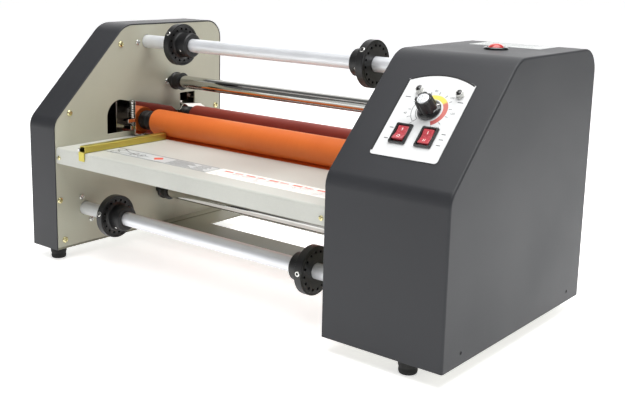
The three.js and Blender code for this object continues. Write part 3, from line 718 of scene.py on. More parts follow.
CHARCOAL = charcoal_paint()
GREY = grey_paint()
# The side plates' grey darkened: painted shade for the bottom plate, which sits in shadow under the table.
SHADED_GREY = powder_coat("grey_paint_painted_shade", shade(118, 117, 101), 2200, 0.00003, 0.46, shade(150, 149, 136))
TABLE_WHITE = table_paint()
ALUMINIUM = brushed_metal("satin_aluminium", shade(234, 236, 240), 0.36, (0.04, 1, 1), metallic=0.4)
CHROME = brushed_metal("polished_steel", shade(204, 204, 200), 0.08, (0.04, 1, 1), 0.000004, 300, 0.03)
STEEL = brushed_metal("plain_steel", shade(168, 169, 170), 0.34, (1, 0.06, 1))
MIRROR_STEEL = brushed_metal("bright_frame_steel", shade(206, 202, 196), 0.14, (1, 0.08, 1), 0.000006, 300,
                             0.05)
MIRROR_PLATE = brushed_metal("polished_bearing_steel", shade(216, 210, 204), 0.05, (1, 0.08, 1), 0.000002, 200,
                             0.02)
ZINC = brushed_metal("silver_zinc", shade(214, 214, 210), 0.22, (1, 1, 1), 0.00001, 900)
YELLOW_ZINC = brushed_metal("yellow_zinc", shade(222, 214, 168), 0.24, (1, 1, 1), 0.00001, 900)
GUIDE_GOLD = brushed_metal("olive_anodised", shade(206, 194, 100), 0.40, (1, 0.04, 1))
BRASS = brushed_metal("gear_brass", shade(190, 160, 92), 0.32, (0.05, 1, 1))
ORANGE = silicone("orange_silicone", shade(226, 118, 50), shade(216, 104, 40))
RED = silicone("red_silicone", shade(146, 56, 42), shade(130, 46, 36))
BLACK = moulded_plastic("black_plastic", shade(17, 17, 18), 0.38)
GLOSS_BLACK = moulded_plastic("gloss_black_plastic", shade(18, 18, 19), 0.22, 0.6)
RUBBER = rubber("black_rubber")
LENS_RED = clear_red("red_lens", shade(206, 84, 92), shade(164, 46, 56))
DOME_RED = clear_red("red_dome", shade(214, 34, 26), shade(160, 16, 14))
LABEL = printed("white_label", shade(224, 225, 225))
# Not ink on the panel: a black strip that paints the shadow in the gap along the panel's crown and left edge.
SHADOW_GAP_BLACK = printed("painted_shadow_gap", shade(8, 8, 9), 0.6)
GREY_INK = printed("grey_ink", shade(56, 59, 62))
PALE_INK = printed("pale_grey_ink", shade(196, 199, 198))
RED_INK = printed("red_ink", shade(222, 88, 66))
WHITE_INK = printed("white_ink", shade(250, 244, 240), 0.3)
SILVER_CAP = brushed_metal("silver_cap", shade(236, 238, 240), 0.3, (1, 1, 1), 0.00001, 900)
HEAT_BAND = heat_band()
BOARD = circuit_board()


# ---- fasteners ----
def cross_head(radius, height):
    """A pan head with a cross recess, standing on the origin and facing up Z."""
    crown = [(radius * math.cos(math.radians(a)), height * (0.35 + 0.65 * math.sin(math.radians(a))))
             for a in range(0, 90, 15)]
    head = lathe([(0, 0), (radius, 0), *crown, (0, height)], Matrix.Identity(4), 28)
    arm, blade = radius * 0.62, radius * 0.14
    low, high = height * 0.4, height * 1.4
    flat = Matrix.Identity(4)
    tools = [plate(rectangle(-arm, -blade, arm, blade), low, high, flat, bevel=0),
             plate(rectangle(-blade, -arm, blade, arm), low, high, flat, bevel=0)]
    return cut(cut(head, tools[0]), tools[1])


def screws(name, places, finish, radius=3.2, height=2.0, body="frame", seed=3):
    """A set of the same screws; each place is a point in millimetres and the way that its head faces."""
    template = fresh_object("screw", cross_head(radius, height))
    template.data.transform(Matrix.Scale(MM, 4))
    host = bpy.data.meshes.new("points")
    host.from_pydata([MACHINE @ Vector(point) for point, _ in places], [], [])
    facing = host.attributes.new("facing", "FLOAT_VECTOR", "POINT")
    facing.data.foreach_set("vector", [value for _, direction in places for value in direction])
    mesh = grow(SCREWS_ON_POINTS, {"Screw": template, "Seed": seed, "Material": finish}, host)
    bpy.data.objects.remove(template)
    return settle(name, mesh, finish, body)


def ring_of(mesh, count, radius, start=0.0, step=None):
    """Copies of a mesh round its own Z axis; angles in degrees."""
    turn = math.radians(360 / count if step is None else step)
    return grow(RING_OF_COPIES, {"Count": count, "Radius": float(radius), "Start": math.radians(start),
                                 "Step": turn, "Material": STEEL}, mesh)


def placed(mesh, matrix):
    mesh.transform(matrix)
    return mesh


# ---- housings ----
def housing_path(inset, bottom=HOUSING_LOW, steps=12):
    """The housing's side outline from its front foot over the slope to its back foot, as (y, z) points."""
    slide = inset * math.tan(math.pi / 8)
    corners = [
        (inset, bottom), (inset, SLOPE_FOOT - slide), (SLOPE_RUN + slide, HOUSING_TOP - inset),
        (DEPTH - inset, HOUSING_TOP - inset), (DEPTH - inset, bottom),
    ]
    points = [corners[0]]
    for i, radius in enumerate(BENDS, 1):
        corner = Vector(corners[i])
        before = (Vector(corners[i - 1]) - corner).normalized()
        after = (Vector(corners[i + 1]) - corner).normalized()
        half = before.angle(after) / 2
        centre = corner + (before + after).normalized() * (radius - inset) / math.sin(half)
        start = corner + before * (radius - inset) / math.tan(half) - centre
        turn = math.pi - 2 * half
        for step in range(steps + 1):
            a = -turn * step / steps
            points.append((centre.x + start.x * math.cos(a) - start.y * math.sin(a),
                           centre.y + start.x * math.sin(a) + start.y * math.cos(a)))
    return points + [corners[-1]]


def housing_shell(outer, inner, edge=2.0):
    """A folded sheet cover: its side panel at outer, open towards inner and below, with soft folded edges."""
    way = 1 if inner > outer else -1
    rounds = 5
    rings = []
    for step in range(rounds + 1):
        a = math.pi / 2 * step / rounds
        rings.append((edge * (1 - math.sin(a)), outer + way * edge * (1 - math.cos(a))))
    lip = 0.35
    rings += [(0, inner - way * lip), (lip, inner), (SHEET - lip, inner), (SHEET, inner - way * lip)]
    rings += [(SHEET, outer + way * (edge + 0.6)), (SHEET + 0.4, outer + way * SHEET)]
    shape = bmesh.new()
    rows = [[shape.verts.new((x, y, z)) for y, z in housing_path(inset)] for inset, x in rings]
    for lower, upper in zip(rows, rows[1:]):
        for i in range(len(lower) - 1):
            shape.faces.new((lower[i], lower[i + 1], upper[i + 1], upper[i]))
    shape.faces.new(rows[0])
    shape.faces.new(rows[-1])
    shape.faces.new([row[0] for row in rows] + [row[-1] for row in reversed(rows)])
    return from_bmesh(shape, MACHINE)


def slope_openings(clearance=0.2):
    """Solid plugs where the switches, the thermostat and the lamps pass through the slope."""
    tools = []
    for switch in SWITCHES.values():
        half = (13.2 / 2 + clearance, 18.8 / 2 + clearance)
        tools.append(plate(rectangle(switch["x"] - half[0], SWITCH_ALONG - half[1], switch["x"] + half[0],
                                     SWITCH_ALONG + half[1]), -6, 6, SLOPE, bevel=0))
    plug = [(0, -6), (4.6, -6), (4.6, 6), (0, 6)]
    tools.append(lathe(plug, on_slope(KNOB["x"], KNOB["along"]), 32))
    for x in LAMPS.values():
        tools.append(lathe([(0, -6), (2.8, -6), (2.8, 6), (0, 6)], on_slope(x, LAMP_ALONG), 24))
    return tools


def vent_plugs():
    """Two rows of upright slots in the back wall."""
    slot = plate(rectangle(-1.5, -15, 1.5, 15, 1.45, 4), -3, 3, Matrix.Identity(4), bevel=0)
    columns = 9
    rows = grow(ROWS_OF_COPIES, {"Across": columns, "Up": 2, "Width": 8.0 * (columns - 1), "Height": 42.0,
                                 "Material": STEEL}, slot)
    upright_wall = Matrix.Translation((519.5, DEPTH, 186)) @ Matrix.Rotation(math.radians(90), 4, "X")
    return placed(rows, MACHINE @ upright_wall)


def cover_screws():
    """The small black screws in the covers' sides and backs: each a point and the way that its head faces."""
    panels = [((x, y, 26), (way, 0, 0)) for x, way in ((WIDTH, 1), (0, -1)) for y in (30, 246)]
    rear = [((x, DEPTH, z), (0, 1, 0)) for x in (452, 566, 23) for z in (30, 238)]
    inlet = middle("power_inlet")
    rear += [((inlet.x + side * 20, DEPTH, inlet.z), (0, 1, 0)) for side in (-1, 1)]
    return {"panel": panels, "rear": rear}


def sunk(places, depth):
    """The same places moved into the sheet by a depth."""
    return [(tuple(Vector(point) - Vector(facing) * depth), facing) for point, facing in places]


def screw_seats():
    """Cutters for the round seats that let each cover screw's head lie flush."""
    seats = []
    for kind, places in cover_screws().items():
        radius, height = COVER_SCREW[kind]
        for point, facing in sunk(places, height + 0.1):
            turn = Vector(facing).to_track_quat("Z", "Y").to_matrix().to_4x4()
            bore = [(0, 0), (radius + 0.2, 0), (radius + 0.2, height + 1), (0, height + 1)]
            seats.append(lathe(bore, MACHINE @ Matrix.Translation(point) @ turn, 32))
    return seats


def make_covers():
    slim = cut(housing_shell(0, SLIM_FACE), *screw_seats())
    settle("slim_housing", slim, CHARCOAL, stands_for="left_cover")
    shell = housing_shell(WIDTH, CONTROL_FACE)
    low, high = HOUSING_TOP - 4, HOUSING_TOP + 4
    hole = lathe([(0, low), (10.3, low), (10.3, high), (0, high)], upright(DOME["x"], DOME["y"]), 40)
    inlet = middle("power_inlet")
    half = Vector((13.8, 0, 10.2))
    back = Vector((inlet.x, DEPTH, inlet.z))
    socket_hole = box(back - half - Vector((0, 4, 0)), back + half + Vector((0, 4, 0)), bevel=0.02)
    shell = cut(shell, *slope_openings(), hole, socket_hole, vent_plugs(), *screw_seats())
    settle("control_housing", shell, CHARCOAL, stands_for="right_cover")


def bearing_window():
    """The side plate's opening round the bearings, walked anticlockwise from its low front corner."""
    brow = [(200.5, 184.8), (200.5, 163.4), (191, 161), (184, 167.5), (120, 181)]
    return [(123.4, 107), (227.3, 107), (227.3, 184.8), *brow, *arc((100, 164.6), 21, 90, 180, 12),
            (79, 145), (123.4, 145)]


def make_side_plates():
    outline = housing_path(SHEET + GAP, extent("left_side_plate")[0].z)
    holes = [bearing_window()]
    for node in ("upper_mandrel", "lower_mandrel"):
        centre = middle(node)
        holes.append(circle((centre.y, centre.z), 8.4))
    for node, low, high in (("left_side_plate", SLIM_FACE - PLATE, SLIM_FACE),
                            ("right_side_plate", CONTROL_FACE, CONTROL_FACE + PLATE)):
        mesh = plate(outline, low, high, ACROSS, holes, bevel=0.3)
        settle(node.replace("_side_plate", "_inner_plate"), mesh, GREY, stands_for=node)


def make_base():
    low, high = extent("base_plate")
    notch = 157
    outline = [(low.x, low.y), (SLIM_FACE, low.y), (SLIM_FACE, notch), (CONTROL_FACE, notch),
               (CONTROL_FACE, low.y), (high.x, low.y), (high.x, high.y), (low.x, high.y)]
    mesh = plate(outline, low.z, high.z, MACHINE, [rectangle(97, 205, 394, 268, 4)], bevel=0.3)
    # The bottom plate and its flange take the grey darkened as painted shade.
    settle("bottom_plate", mesh, SHADED_GREY, stands_for="base_plate")
    lip = box((SLIM_FACE + 0.6, notch + 1, high.z), (SLIM_FACE + 14, DEPTH - 6, high.z + 1.2), bevel=0.25)
    settle("bottom_plate_flange", lip, SHADED_GREY)


def make_feet():
    profile = eased([(0, 0), (8.2, 0), (9.4, 2.5), (9.6, 14.7), (0, 14.7)], 0.9)
    groove = eased([(0, 0), (8.2, 0), (8.9, 3), (8.4, 5.5), (9.3, 8), (9.6, 14.7), (0, 14.7)], 0.9)
    for node in ("front_left_foot", "front_right_foot", "back_left_foot", "back_right_foot"):
        centre = middle(node)
        shape = groove if node.startswith("front") else profile
        settle(node.replace("_foot", "_rubber_foot"), lathe(shape, upright(centre.x, centre.y), 48), RUBBER,
               stands_for=node)


def make_housing_screws():
    yellow, silver = [], []
    for x, facing in ((SLIM_FACE, (1, 0, 0)), (CONTROL_FACE, (-1, 0, 0))):
        yellow += [((x, y, z), facing) for y, z in ((102, 253), (23, 177), (11.5, 26), (266, 162), (6, 75))]
        silver += [((x, y, z), facing) for y, z in ((129, 254), (37, 74), (51, 44), (177, 202), (6, 127))]
    screws("side_plate_screws", yellow, YELLOW_ZINC, 3.7, 2.3, seed=5)
    screws("side_plate_bright_screws", silver, ZINC, 3.4, 2.3, seed=9)
    table_low = extent("feed_table")[0]
    heads = [((x, table_low.y, 127.5), (0, -1, 0)) for x in (SLIM_FACE + 5.5, CONTROL_FACE - 5.5)]
    screws("table_screws", heads, YELLOW_ZINC, 2.6, 1.7, seed=2)
    for (kind, places), seed in zip(cover_screws().items(), (4, 7)):
        radius, height = COVER_SCREW[kind]
        screws(f"{kind}_screws", sunk(places, height + 0.05), BLACK, radius, height, seed=seed)


# ---- feed table and guide ----
def make_table():
    low, high = extent("feed_table")
    bend = 2.5
    corner = (low.y + bend, high.z - bend)
    outer = [(low.y, low.z), *reversed(arc(corner, bend, 90, 180, 8)), (high.y, high.z)]
    inner = [(high.y, high.z - SHEET), *arc(corner, bend - SHEET, 90, 180, 8), (low.y + SHEET, low.z)]
    sheet = plate(outer + inner, low.x, high.x, ACROSS, bevel=0.2)
    tab = rectangle(low.y + bend + 0.6, low.z, 62, high.z - 1, 1.5)
    tabs = [plate(tab, x, x + SHEET, ACROSS, bevel=0.2) for x in (low.x + 0.6, high.x - 0.6 - SHEET)]
    settle("paper_table", joined(sheet, *tabs), TABLE_WHITE, stands_for="feed_table")


def ribbon(points, width, height, place, closed=False):
    """A printed line of one width along flat points, a few hundredths of a millimetre thick."""
    path = [Vector(point) for point in points]
    count = len(path)
    left, right = [], []
    for i, point in enumerate(path):
        before = path[i - 1] if i or closed else point
        after = path[(i + 1) % count] if i < count - 1 or closed else point
        way = (after - before).normalized()
        side = Vector((-way.y, way.x)) * width / 2
        left.append(point + side)
        right.append(point - side)
    shape = bmesh.new()
    low, high = height
    rows = []
    for a, b in zip(left, right):
        rows.append([shape.verts.new((p.x, p.y, z)) for p, z in ((a, low), (a, high), (b, high), (b, low))])
    pairs = list(zip(rows, rows[1:])) + ([(rows[-1], rows[0])] if closed else [])
    for first, second in pairs:
        for i in range(4):
            j = (i + 1) % 4
            shape.faces.new((first[i], first[j], second[j], second[i]))
    if not closed:
        shape.faces.new(rows[0])
        shape.faces.new(rows[-1])
    return from_bmesh(shape, place)


def make_table_labels():
    """Two printed films along the table's front: a threading diagram, and a strip of warm marks."""
    top = extent("feed_table")[1].z
    film = (top + 0.02, top + 0.16)
    ink = (top + 0.17, top + 0.21)
    front, back = 29, 55
    for name, start, end, edge, finish in (("diagram_label", 94, 263, front, PALE_INK),
                                           ("notes_label", 265, 440, front - 2, WHITE_INK)):
        sticker = plate(rectangle(start, edge, end, back, 1.5), *film, MACHINE, bevel=0.03)
        settle(name, sticker, finish)
    lines = [ribbon(rectangle(96, front + 1.5, 261, back - 1.5), 1.1, ink, MACHINE, True)]
    rolls = [(112, 47, 5), (112, 36, 5), (140, 43, 3.2), (140, 38, 3.2), (152, 43, 3), (152, 38, 3)]
    lines += [ribbon(circle((x, y), r, 20), 0.9, ink, MACHINE, True) for x, y, r in rolls]
    lines += [ribbon([(112, 52), (126, 44.5), (140, 40.5), (164, 40.5)], 0.8, ink, MACHINE)]
    lines += [ribbon([(112, 31), (126, 36.5), (140, 40.5)], 0.8, ink, MACHINE)]
    for row in range(6):
        y = 50 - 3.2 * row
        lines.append(ribbon([(198, y), (226 + 5 * (row % 3), y)], 1.1, ink, MACHINE))
        lines.append(ribbon([(238, y), (252 + 3 * (row % 2), y)], 1.0, ink, MACHINE))
    settle("diagram_lines", joined(*lines), GREY_INK)
    diamond = plate([(171, 42.5), (178, 35.5), (185, 42.5), (178, 49.5)], *ink, MACHINE, bevel=0.01)
    marks = [diamond]
    for i in range(5):
        x = 274 + 31 * i
        marks.append(ribbon([(x, 48), (x + 12, 48)], 3.4, ink, MACHINE))
        marks.append(ribbon([(x + 15, 48), (x + 26, 48)], 2.0, ink, MACHINE))
    settle("warm_marks", joined(*marks), RED_INK)
    rules = [ribbon([(268, y), (436, y)], 1.2, ink, MACHINE) for y in (44.5, 40.5, 36.5, 32.5)]
    settle("notes_lines", joined(*rules), PALE_INK)


def make_guide():
    """A square tube that slides along the table's front edge, with a clip at its hooked end."""
    low, high = extent("guide_bar")
    floor, top = extent("feed_table")[1].z + GAP, high.z
    wall = 1.2
    facing = MACHINE @ Matrix.Rotation(math.radians(90), 4, "X")
    outline = rectangle(low.x, floor, high.x, top, 1.2)
    bore = rectangle(low.x + wall, floor + wall, high.x - wall, top - wall, 0.5)
    tube = plate(outline, -high.y, -3, facing, [bore], bevel=0.15)
    hook = plate([(0.8, low.z), (2.2, low.z), (2.2, floor), (4, floor), (4, floor + 1.3), (0.8, floor + 1.3)],
                 low.x, high.x, ACROSS, bevel=0.15)
    settle("edge_guide", joined(tube, hook), GUIDE_GOLD, "guide", "guide_bar")
    clip = plate(rectangle(0.2, floor + 1.6, 3.4, floor + 5.2, 0.4), low.x - 0.8, low.x + 2.4, ACROSS,
                 bevel=0.2)
    settle("edge_guide_clip", clip, ZINC, "guide")


# ---- controls ----
def panel_outline(grow_by=0.0):
    left, right = PANEL["left"] - grow_by, PANEL["right"] + grow_by
    low, corner = PANEL["low"] - grow_by, 3
    middle_x, chord, rise = (left + right) / 2, (right - left) / 2, PANEL["crown"] - PANEL["shoulder"]
    radius = (chord ** 2 + rise ** 2) / (2 * rise)
    sweep = math.degrees(math.asin(chord / radius))
    crown = arc((middle_x, PANEL["crown"] + grow_by - radius), radius, 90 - sweep, 90 + sweep, 28)
    return (arc((left + corner, low + corner), corner, 180, 270, 6)
            + arc((right - corner, low + corner), corner, -90, 0, 6) + crown)


def text(words, size, place, lift):
    """Flat figures, a few hundredths of a millimetre thick, centred on their place."""
    curve = bpy.data.curves.new("text", "FONT")
    curve.body, curve.size, curve.extrude = words, size, 0.02
    curve.align_x, curve.align_y = "CENTER", "CENTER"
    piece = fresh_object("text", curve)
    mesh = evaluated(piece)
    bpy.data.objects.remove(piece)
    mesh.transform(place @ Matrix.Translation((0, 0, lift)))
    shape = bmesh.new()
    shape.from_mesh(mesh)
    return from_bmesh(shape)


def make_control_plate():
    top = PANEL["top"]
    holes = []
    for switch in SWITCHES.values():
        holes.append(rectangle(switch["x"] - 6.8, SWITCH_ALONG - 9.6, switch["x"] + 6.8, SWITCH_ALONG + 9.6))
    holes.append(circle((KNOB["x"], KNOB["along"]), 4.6, 24))
    holes += [circle((x, LAMP_ALONG), 2.8, 20) for x in LAMPS.values()]
    mesh = plate(panel_outline(), GAP, top, SLOPE, holes, bevel=0.12)
    settle("control_panel", mesh, LABEL, stands_for="control_plate")
    ink = (top + 0.005, top + 0.03)
    # Painted shadow: a black strip along the crown and the left edge, where the panel's recess casts a shadow gap.
    outline = panel_outline(-0.75)
    painted_shadow_strip = ribbon(outline[14:] + outline[:1], 1.6, (top + 0.02, top + 0.12), SLOPE)
    settle("control_panel_border", painted_shadow_strip, SHADOW_GAP_BLACK)


def make_dial():
    """The heat band and its marks, printed on the control panel round the knob."""
    top = PANEL["top"]
    ink = (top + 0.005, top + 0.03)
    centre = (KNOB["x"], KNOB["along"])
    band = ribbon(arc(centre, 15.3, -62, 112, 48), 4.6, ink, SLOPE)
    settle("dial_heat_band", band, HEAT_BAND)
    outline = arc(centre, 17.6, 112, 232, 30) + arc(centre, 13.2, 232, 112, 30)
    lines = [ribbon(outline, 0.5, ink, SLOPE, True)]
    tick = ribbon([(-1.5, 0), (1.5, 0)], 0.5, ink, Matrix.Identity(4))
    ticks = ring_of(tick, 13, 20.0, -62, 24.5)
    lines.append(placed(ticks, on_slope(*centre)))
    figures = ["140", "120", "100", "80", "60", "40"]
    for i, figure in enumerate(figures):
        angle = math.radians(-50 + 49 * i)
        spot = (centre[0] + 23.6 * math.cos(angle), centre[1] + 22.4 * math.sin(angle))
        lines.append(text(figure, 3.1, on_slope(*spot), top + 0.03))
    for x in (484.6, 545.5 - 6.5):
        lines += [ribbon([(x - 2.8, u), (x + 2.8, u)], 0.8, ink, SLOPE) for u in (LAMP_ALONG - 7.5,)]
    lines += [ribbon([(x - 2, u), (x + 2, u)], 0.8, ink, SLOPE)
              for x, u in ((484.5, 62), (484.5, 50), (538.5, 62), (538.5, 56.2), (538.5, 50))]
    settle("dial_marks", joined(*lines), GREY_INK)


def make_switches():
    """Snap-in rocker switches: a dark frame with a sloping rim, and a see-through red rocker in it."""
    top = PANEL["top"] + GAP
    for name, switch in SWITCHES.items():
        x = switch["x"]

        def ring(width, length, radius, height):
            points = rectangle(-width / 2, -length / 2, width / 2, length / 2, radius)
            return [(a, b, height) for a, b in points]

        frame_shape = loft([
            ring(13.2, 18.8, 0.3, -16), ring(13.2, 18.8, 0.3, top), ring(16.8, 21.8, 0.9, top),
            ring(17, 22, 1.0, top + 0.25), ring(17, 22, 1.0, top + 0.9), ring(16.3, 21.3, 0.9, top + 1.8),
            ring(15.9, 20.9, 0.8, top + 2), ring(13.0, 18.6, 0.5, top + 2), ring(12.4, 18.1, 0.4, top + 1.7),
            ring(11.5, 17.3, 0.2, top + 0.2), ring(11.4, 17.2, 0.2, -8),
        ])
        settle(f"{name}_switch_frame", from_bmesh(frame_shape, on_slope(x, SWITCH_ALONG)), GLOSS_BLACK,
               stands_for=f"{name}_switch_bezel")
        valley = [(-7.4, 3.9), (-6.2, 3.65), (-3.6, 3.0), (-1.4, 2.58), (0, 2.48)]
        outline = ([(-6.4, -2.5), (6.4, -2.5), (7.6, 0.6), (7.6, 3.6)] + [(-a, b) for a, b in valley]
                   + valley[-2::-1] + [(-7.6, 3.6), (-7.6, 0.6)])
        rest = Matrix.Rotation(math.radians(switch["rest"]), 4, "X")
        tilt = SLOPE @ Matrix.Translation((x, SWITCH_ALONG, 0)) @ rest
        lengthways = tilt @ TURNED
        body = f"{name}_rocker"
        cap = plate(outline, -5.4, 5.4, lengthways, bevel=0.5, rounds=3)
        settle(f"{name}_rocker_cap", cap, LENS_RED, body,
               f"{name}_rocker")
        lean = math.atan2(1.42, 7.4)
        upper = tilt @ Matrix.Translation((0, 4.1, 3.18)) @ Matrix.Rotation(lean, 4, "X")
        lower = tilt @ Matrix.Translation((0, -4.1, 3.18)) @ Matrix.Rotation(-lean, 4, "X")
        ink = (0.0, 0.06)
        bar = ribbon([(0, -1.4), (0, 1.4)], 0.6, ink, upper)
        if name == "power":
            marks = [bar, ribbon(circle((0, 0), 1.35, 24), 0.5, ink, lower, True)]
        else:
            pair = [ribbon([(a, -1.4), (a, 1.4)], 0.5, ink, lower) for a in (-0.8, 0.8)]
            marks = [bar, *pair]
        settle(f"{name}_rocker_marks", joined(*marks), WHITE_INK, body)


def make_top_switch():
    low = HOUSING_TOP + GAP
    profile = eased([(0, 258), (10, 258), (10, low), (12, low), (12, low + 1.1), (11, low + 2), (9.1, low + 2),
                     (8.9, low + 1.4), (8.9, 265), (0, 265)], 0.35)
    settle("top_switch_ring", lathe(profile, upright(DOME["x"], DOME["y"]), 64), GLOSS_BLACK,
           stands_for="top_switch_bezel")
    turns = [math.radians(a) for a in range(0, 90, 9)]
    crown = [(7.8 * math.cos(a), 4.5 + 4.3 * math.sin(a)) for a in turns]
    dome = [(0, -6), (7, -6), (7.8, -2), *crown, (0, 8.8)]
    lean = (MACHINE @ Matrix.Translation((DOME["x"], DOME["y"], 273.85))
            @ Matrix.Rotation(math.radians(6), 4, "X"))
    settle("top_switch_dome", lathe(dome, lean, 56), DOME_RED, "top_rocker", "top_rocker")


def make_knob():
    """A control knob: glossy skirt, deep flutes up the grip, bright cap and a pointer line."""
    base = PANEL["top"] + 0.6
    skirt_profile = eased([(0, -6), (2.8, -6), (2.8, base + 1.2), (4.8, base + 1.2), (4.8, base), (11.3, base),
                           (11.5, base + 0.9), (10.2, base + 2.2), (8.8, base + 3.2), (7.2, base + 3.8),
                           (0, base + 3.8)], 0.4)
    foot = base + 3.4
    heights = [foot + (17.4 - foot) * i / 10 for i in range(11)]
    grip_profile = [(0, foot)] + [(8.9 - 0.7 * i / 10, h) for i, h in enumerate(heights)]
    grip_profile += [(7.9, 17.8), (7.2, 18.0), (0, 18.0)]
    grip = grow(PRESSED_FLUTES, {"Flutes": 8, "Depth": 0.17, "Foot": foot - 1, "Material": BLACK},
                lathe(grip_profile, Matrix.Identity(4), 192))
    place = on_slope(KNOB["x"], KNOB["along"], 30)
    settle("knob_skirt", lathe(skirt_profile, place, 72), GLOSS_BLACK, "temperature_knob",
           "temperature_knob")
    settle("knob_grip", placed(grip, place), BLACK, "temperature_knob", sharp=50)
    cap = eased([(0, 17.9), (5.6, 17.9), (5.6, 18.3), (5.2, 18.55), (0, 18.6)], 0.15)
    settle("knob_cap", lathe(cap, place, 48), SILVER_CAP, "temperature_knob")
    pointer = box((8.6, -0.5, base + 3.25), (11.0, 0.5, base + 3.45), place, 0.05)
    settle("knob_pointer", pointer, WHITE_INK, "temperature_knob")


def make_lamps():
    top = PANEL["top"] + GAP
    for node, x in LAMPS.items():
        holder = eased([(0, -12), (2.6, -12), (2.6, top), (3.9, top), (3.9, top + 0.7), (3.45, top + 0.9),
                        (3.45, top + 4.3), (3.2, top + 4.7), (2.8, top + 4.7), (2.7, top + 4.0), (0, top + 4.0)], 0.2)
        place = on_slope(x, LAMP_ALONG)
        settle(f"{node}_holder", lathe(holder, place, 40), CHROME, stands_for=node)
        lens = [(0, top + 3.9), (2.65, top + 3.9), (2.6, top + 4.5), (1.8, top + 5.05), (0, top + 5.3)]
        settle(f"{node}_lens", lathe(lens, place, 32), GLOSS_BLACK)


def make_top_label():
    film = plate(rectangle(466, 206, 545, 250, 2), HOUSING_TOP + 0.02, HOUSING_TOP + 0.2, MACHINE, bevel=0.03)
    settle("top_label", film, PALE_INK)
    ink = (HOUSING_TOP + 0.21, HOUSING_TOP + 0.25)
    lines = [ribbon(rectangle(468, 208, 543, 248), 0.5, ink, MACHINE, True)]
    lines += [ribbon([(474, y), (474 + length, y)], 0.8, ink, MACHINE)
              for y, length in ((241, 52), (234, 60), (227, 44), (220, 58), (213, 36))]
    settle("top_label_lines", joined(*lines), GREY_INK)


# ---- film mandrels, chucks and idlers ----
def make_mandrels():
    for level in ("upper", "lower"):
        node = f"{level}_mandrel"
        low, high = extent(node)
        centre = middle(node)
        profile = eased([(6.2, low.x), (8, low.x), (8, high.x), (6.2, high.x)], 0.4, closed=True)
        settle(f"{level}_film_tube", lathe(profile, along_x(centre.y, centre.z), 64, closed=True), ALUMINIUM,
               node, node)


CHUCK = {"disc": 25, "thickness": 9, "hub": 14.5, "bore": JOURNAL}
CHUCK_HOLES = 16
SET_SCREW_TURN = {("upper", "left"): 145, ("upper", "right"): 141,
                  ("lower", "left"): 165, ("lower", "right"): 176}


def make_chucks():
    """Core chucks: a drilled disc and a hub on the tube, each held by a socket screw in its rim."""
    disc, thick, hub, bore = CHUCK.values()
    for level in ("upper", "lower"):
        centre = middle(f"{level}_mandrel")
        for side, way in (("left", 1), ("right", -1)):
            node = f"{level}_{side}_chuck"
            low, high = extent(node)
            start = low.x if way > 0 else high.x
            length = high.x - low.x
            profile = eased([
                (bore, 0), (disc - 3.4, 0), (disc - 3.0, 0.5), (disc, 0.5), (disc, thick), (disc - 2.2, thick),
                (disc - 2.6, thick - 0.8), (hub + 3, thick - 0.8), (hub + 0.6, thick), (hub, thick + 1),
                (hub, length - 1.2), (hub - 1.2, length), (bore + 0.6, length), (bore, length - 0.6),
            ], 0.4, closed=True)
            facing = Matrix.Translation((0, 0, start)) @ Matrix.Scale(way, 4, (0, 0, 1))
            drill = lathe([(0, -1), (1.55, -1), (1.55, thick + 1), (0, thick + 1)], Matrix.Identity(4), 14)
            holes = ring_of(drill, CHUCK_HOLES, 19.2, 6)
            body = cut(lathe(profile, Matrix.Identity(4), 96, closed=True), holes)
            body.transform(along_x(centre.y, centre.z) @ facing)
            if way < 0:
                body.flip_normals()
            settle(f"{level}_{side}_core_chuck", body, BLACK, node, node)
            lean = SET_SCREW_TURN[level, side]
            for kind, x, radius, angle, size in (("set", start + way * thick / 2, disc - 0.8, lean, 2.9),
                                                 ("hub", start + way * (thick + 8), hub - 0.9, lean + 60, 1.5)):
                socket_screw(f"{level}_{side}_{kind}_screw", centre, x, radius, angle, node, size)


def socket_screw(name, centre, x, radius, angle, body, size):
    """A cup-point screw with a hexagon socket, set into a turned rim at an angle round its axis."""
    profile = eased([(0, -3), (size, -3), (size, 0.9), (size - 0.5, 1.3), (0, 1.3)], 0.2)
    head = lathe(profile, Matrix.Identity(4), 32)
    key = plate(circle((0, 0), size * 0.55, 6), 0.1, 3, Matrix.Identity(4), bevel=0)
    mesh = cut(head, key)
    turn = math.radians(angle)
    outward = Vector((0, math.cos(turn), math.sin(turn)))
    spin = outward.to_track_quat("Z", "X").to_matrix().to_4x4()
    spot = Vector((x, centre.y, centre.z)) + outward * radius
    settle(name, placed(mesh, MACHINE @ Matrix.Translation(spot) @ spin), ZINC, body)


def make_idlers():
    for level in ("upper", "lower"):
        node = f"{level}_idler"
        low, high = extent(node)
        centre = middle(node)
        start, end, stub = 70.3, MIRROR - 70.3, 4
        profile = eased([(0, low.x), (stub, low.x), (stub, start), (8, start), (8, end), (stub, end),
                         (stub, high.x), (0, high.x)], 0.7)
        settle(f"{level}_guide_rod", lathe(profile, along_x(centre.y, centre.z), 72), CHROME, node, node)
        for side in ("left", "right"):
            place = along_x(centre.y, centre.z)
            if side == "right":
                place = place @ Matrix.Translation((0, 0, MIRROR)) @ Matrix.Scale(-1, 4, (0, 0, 1))
            profile = eased([(0, 47.3), (5, 47.3), (5, 56), (10.4, 56), (11.2, 56.8), (11.2, 60), (10.2, 61),
                             (10.2, 68.4), (11.2, 69.2), (11.2, 70), (4.12, 70), (4.12, 60.2), (0, 60.2)], 0.3)
            settle(f"{level}_{side}_rod_bush", lathe(profile, place, 48), BLACK,
                   stands_for=f"{level}_{side}_bush")


# ---- rollers and their bearings ----
ROLLERS = {"front": (15.9, ORANGE, "orange_silicone"), "rear": (14.9, RED, "red_silicone")}


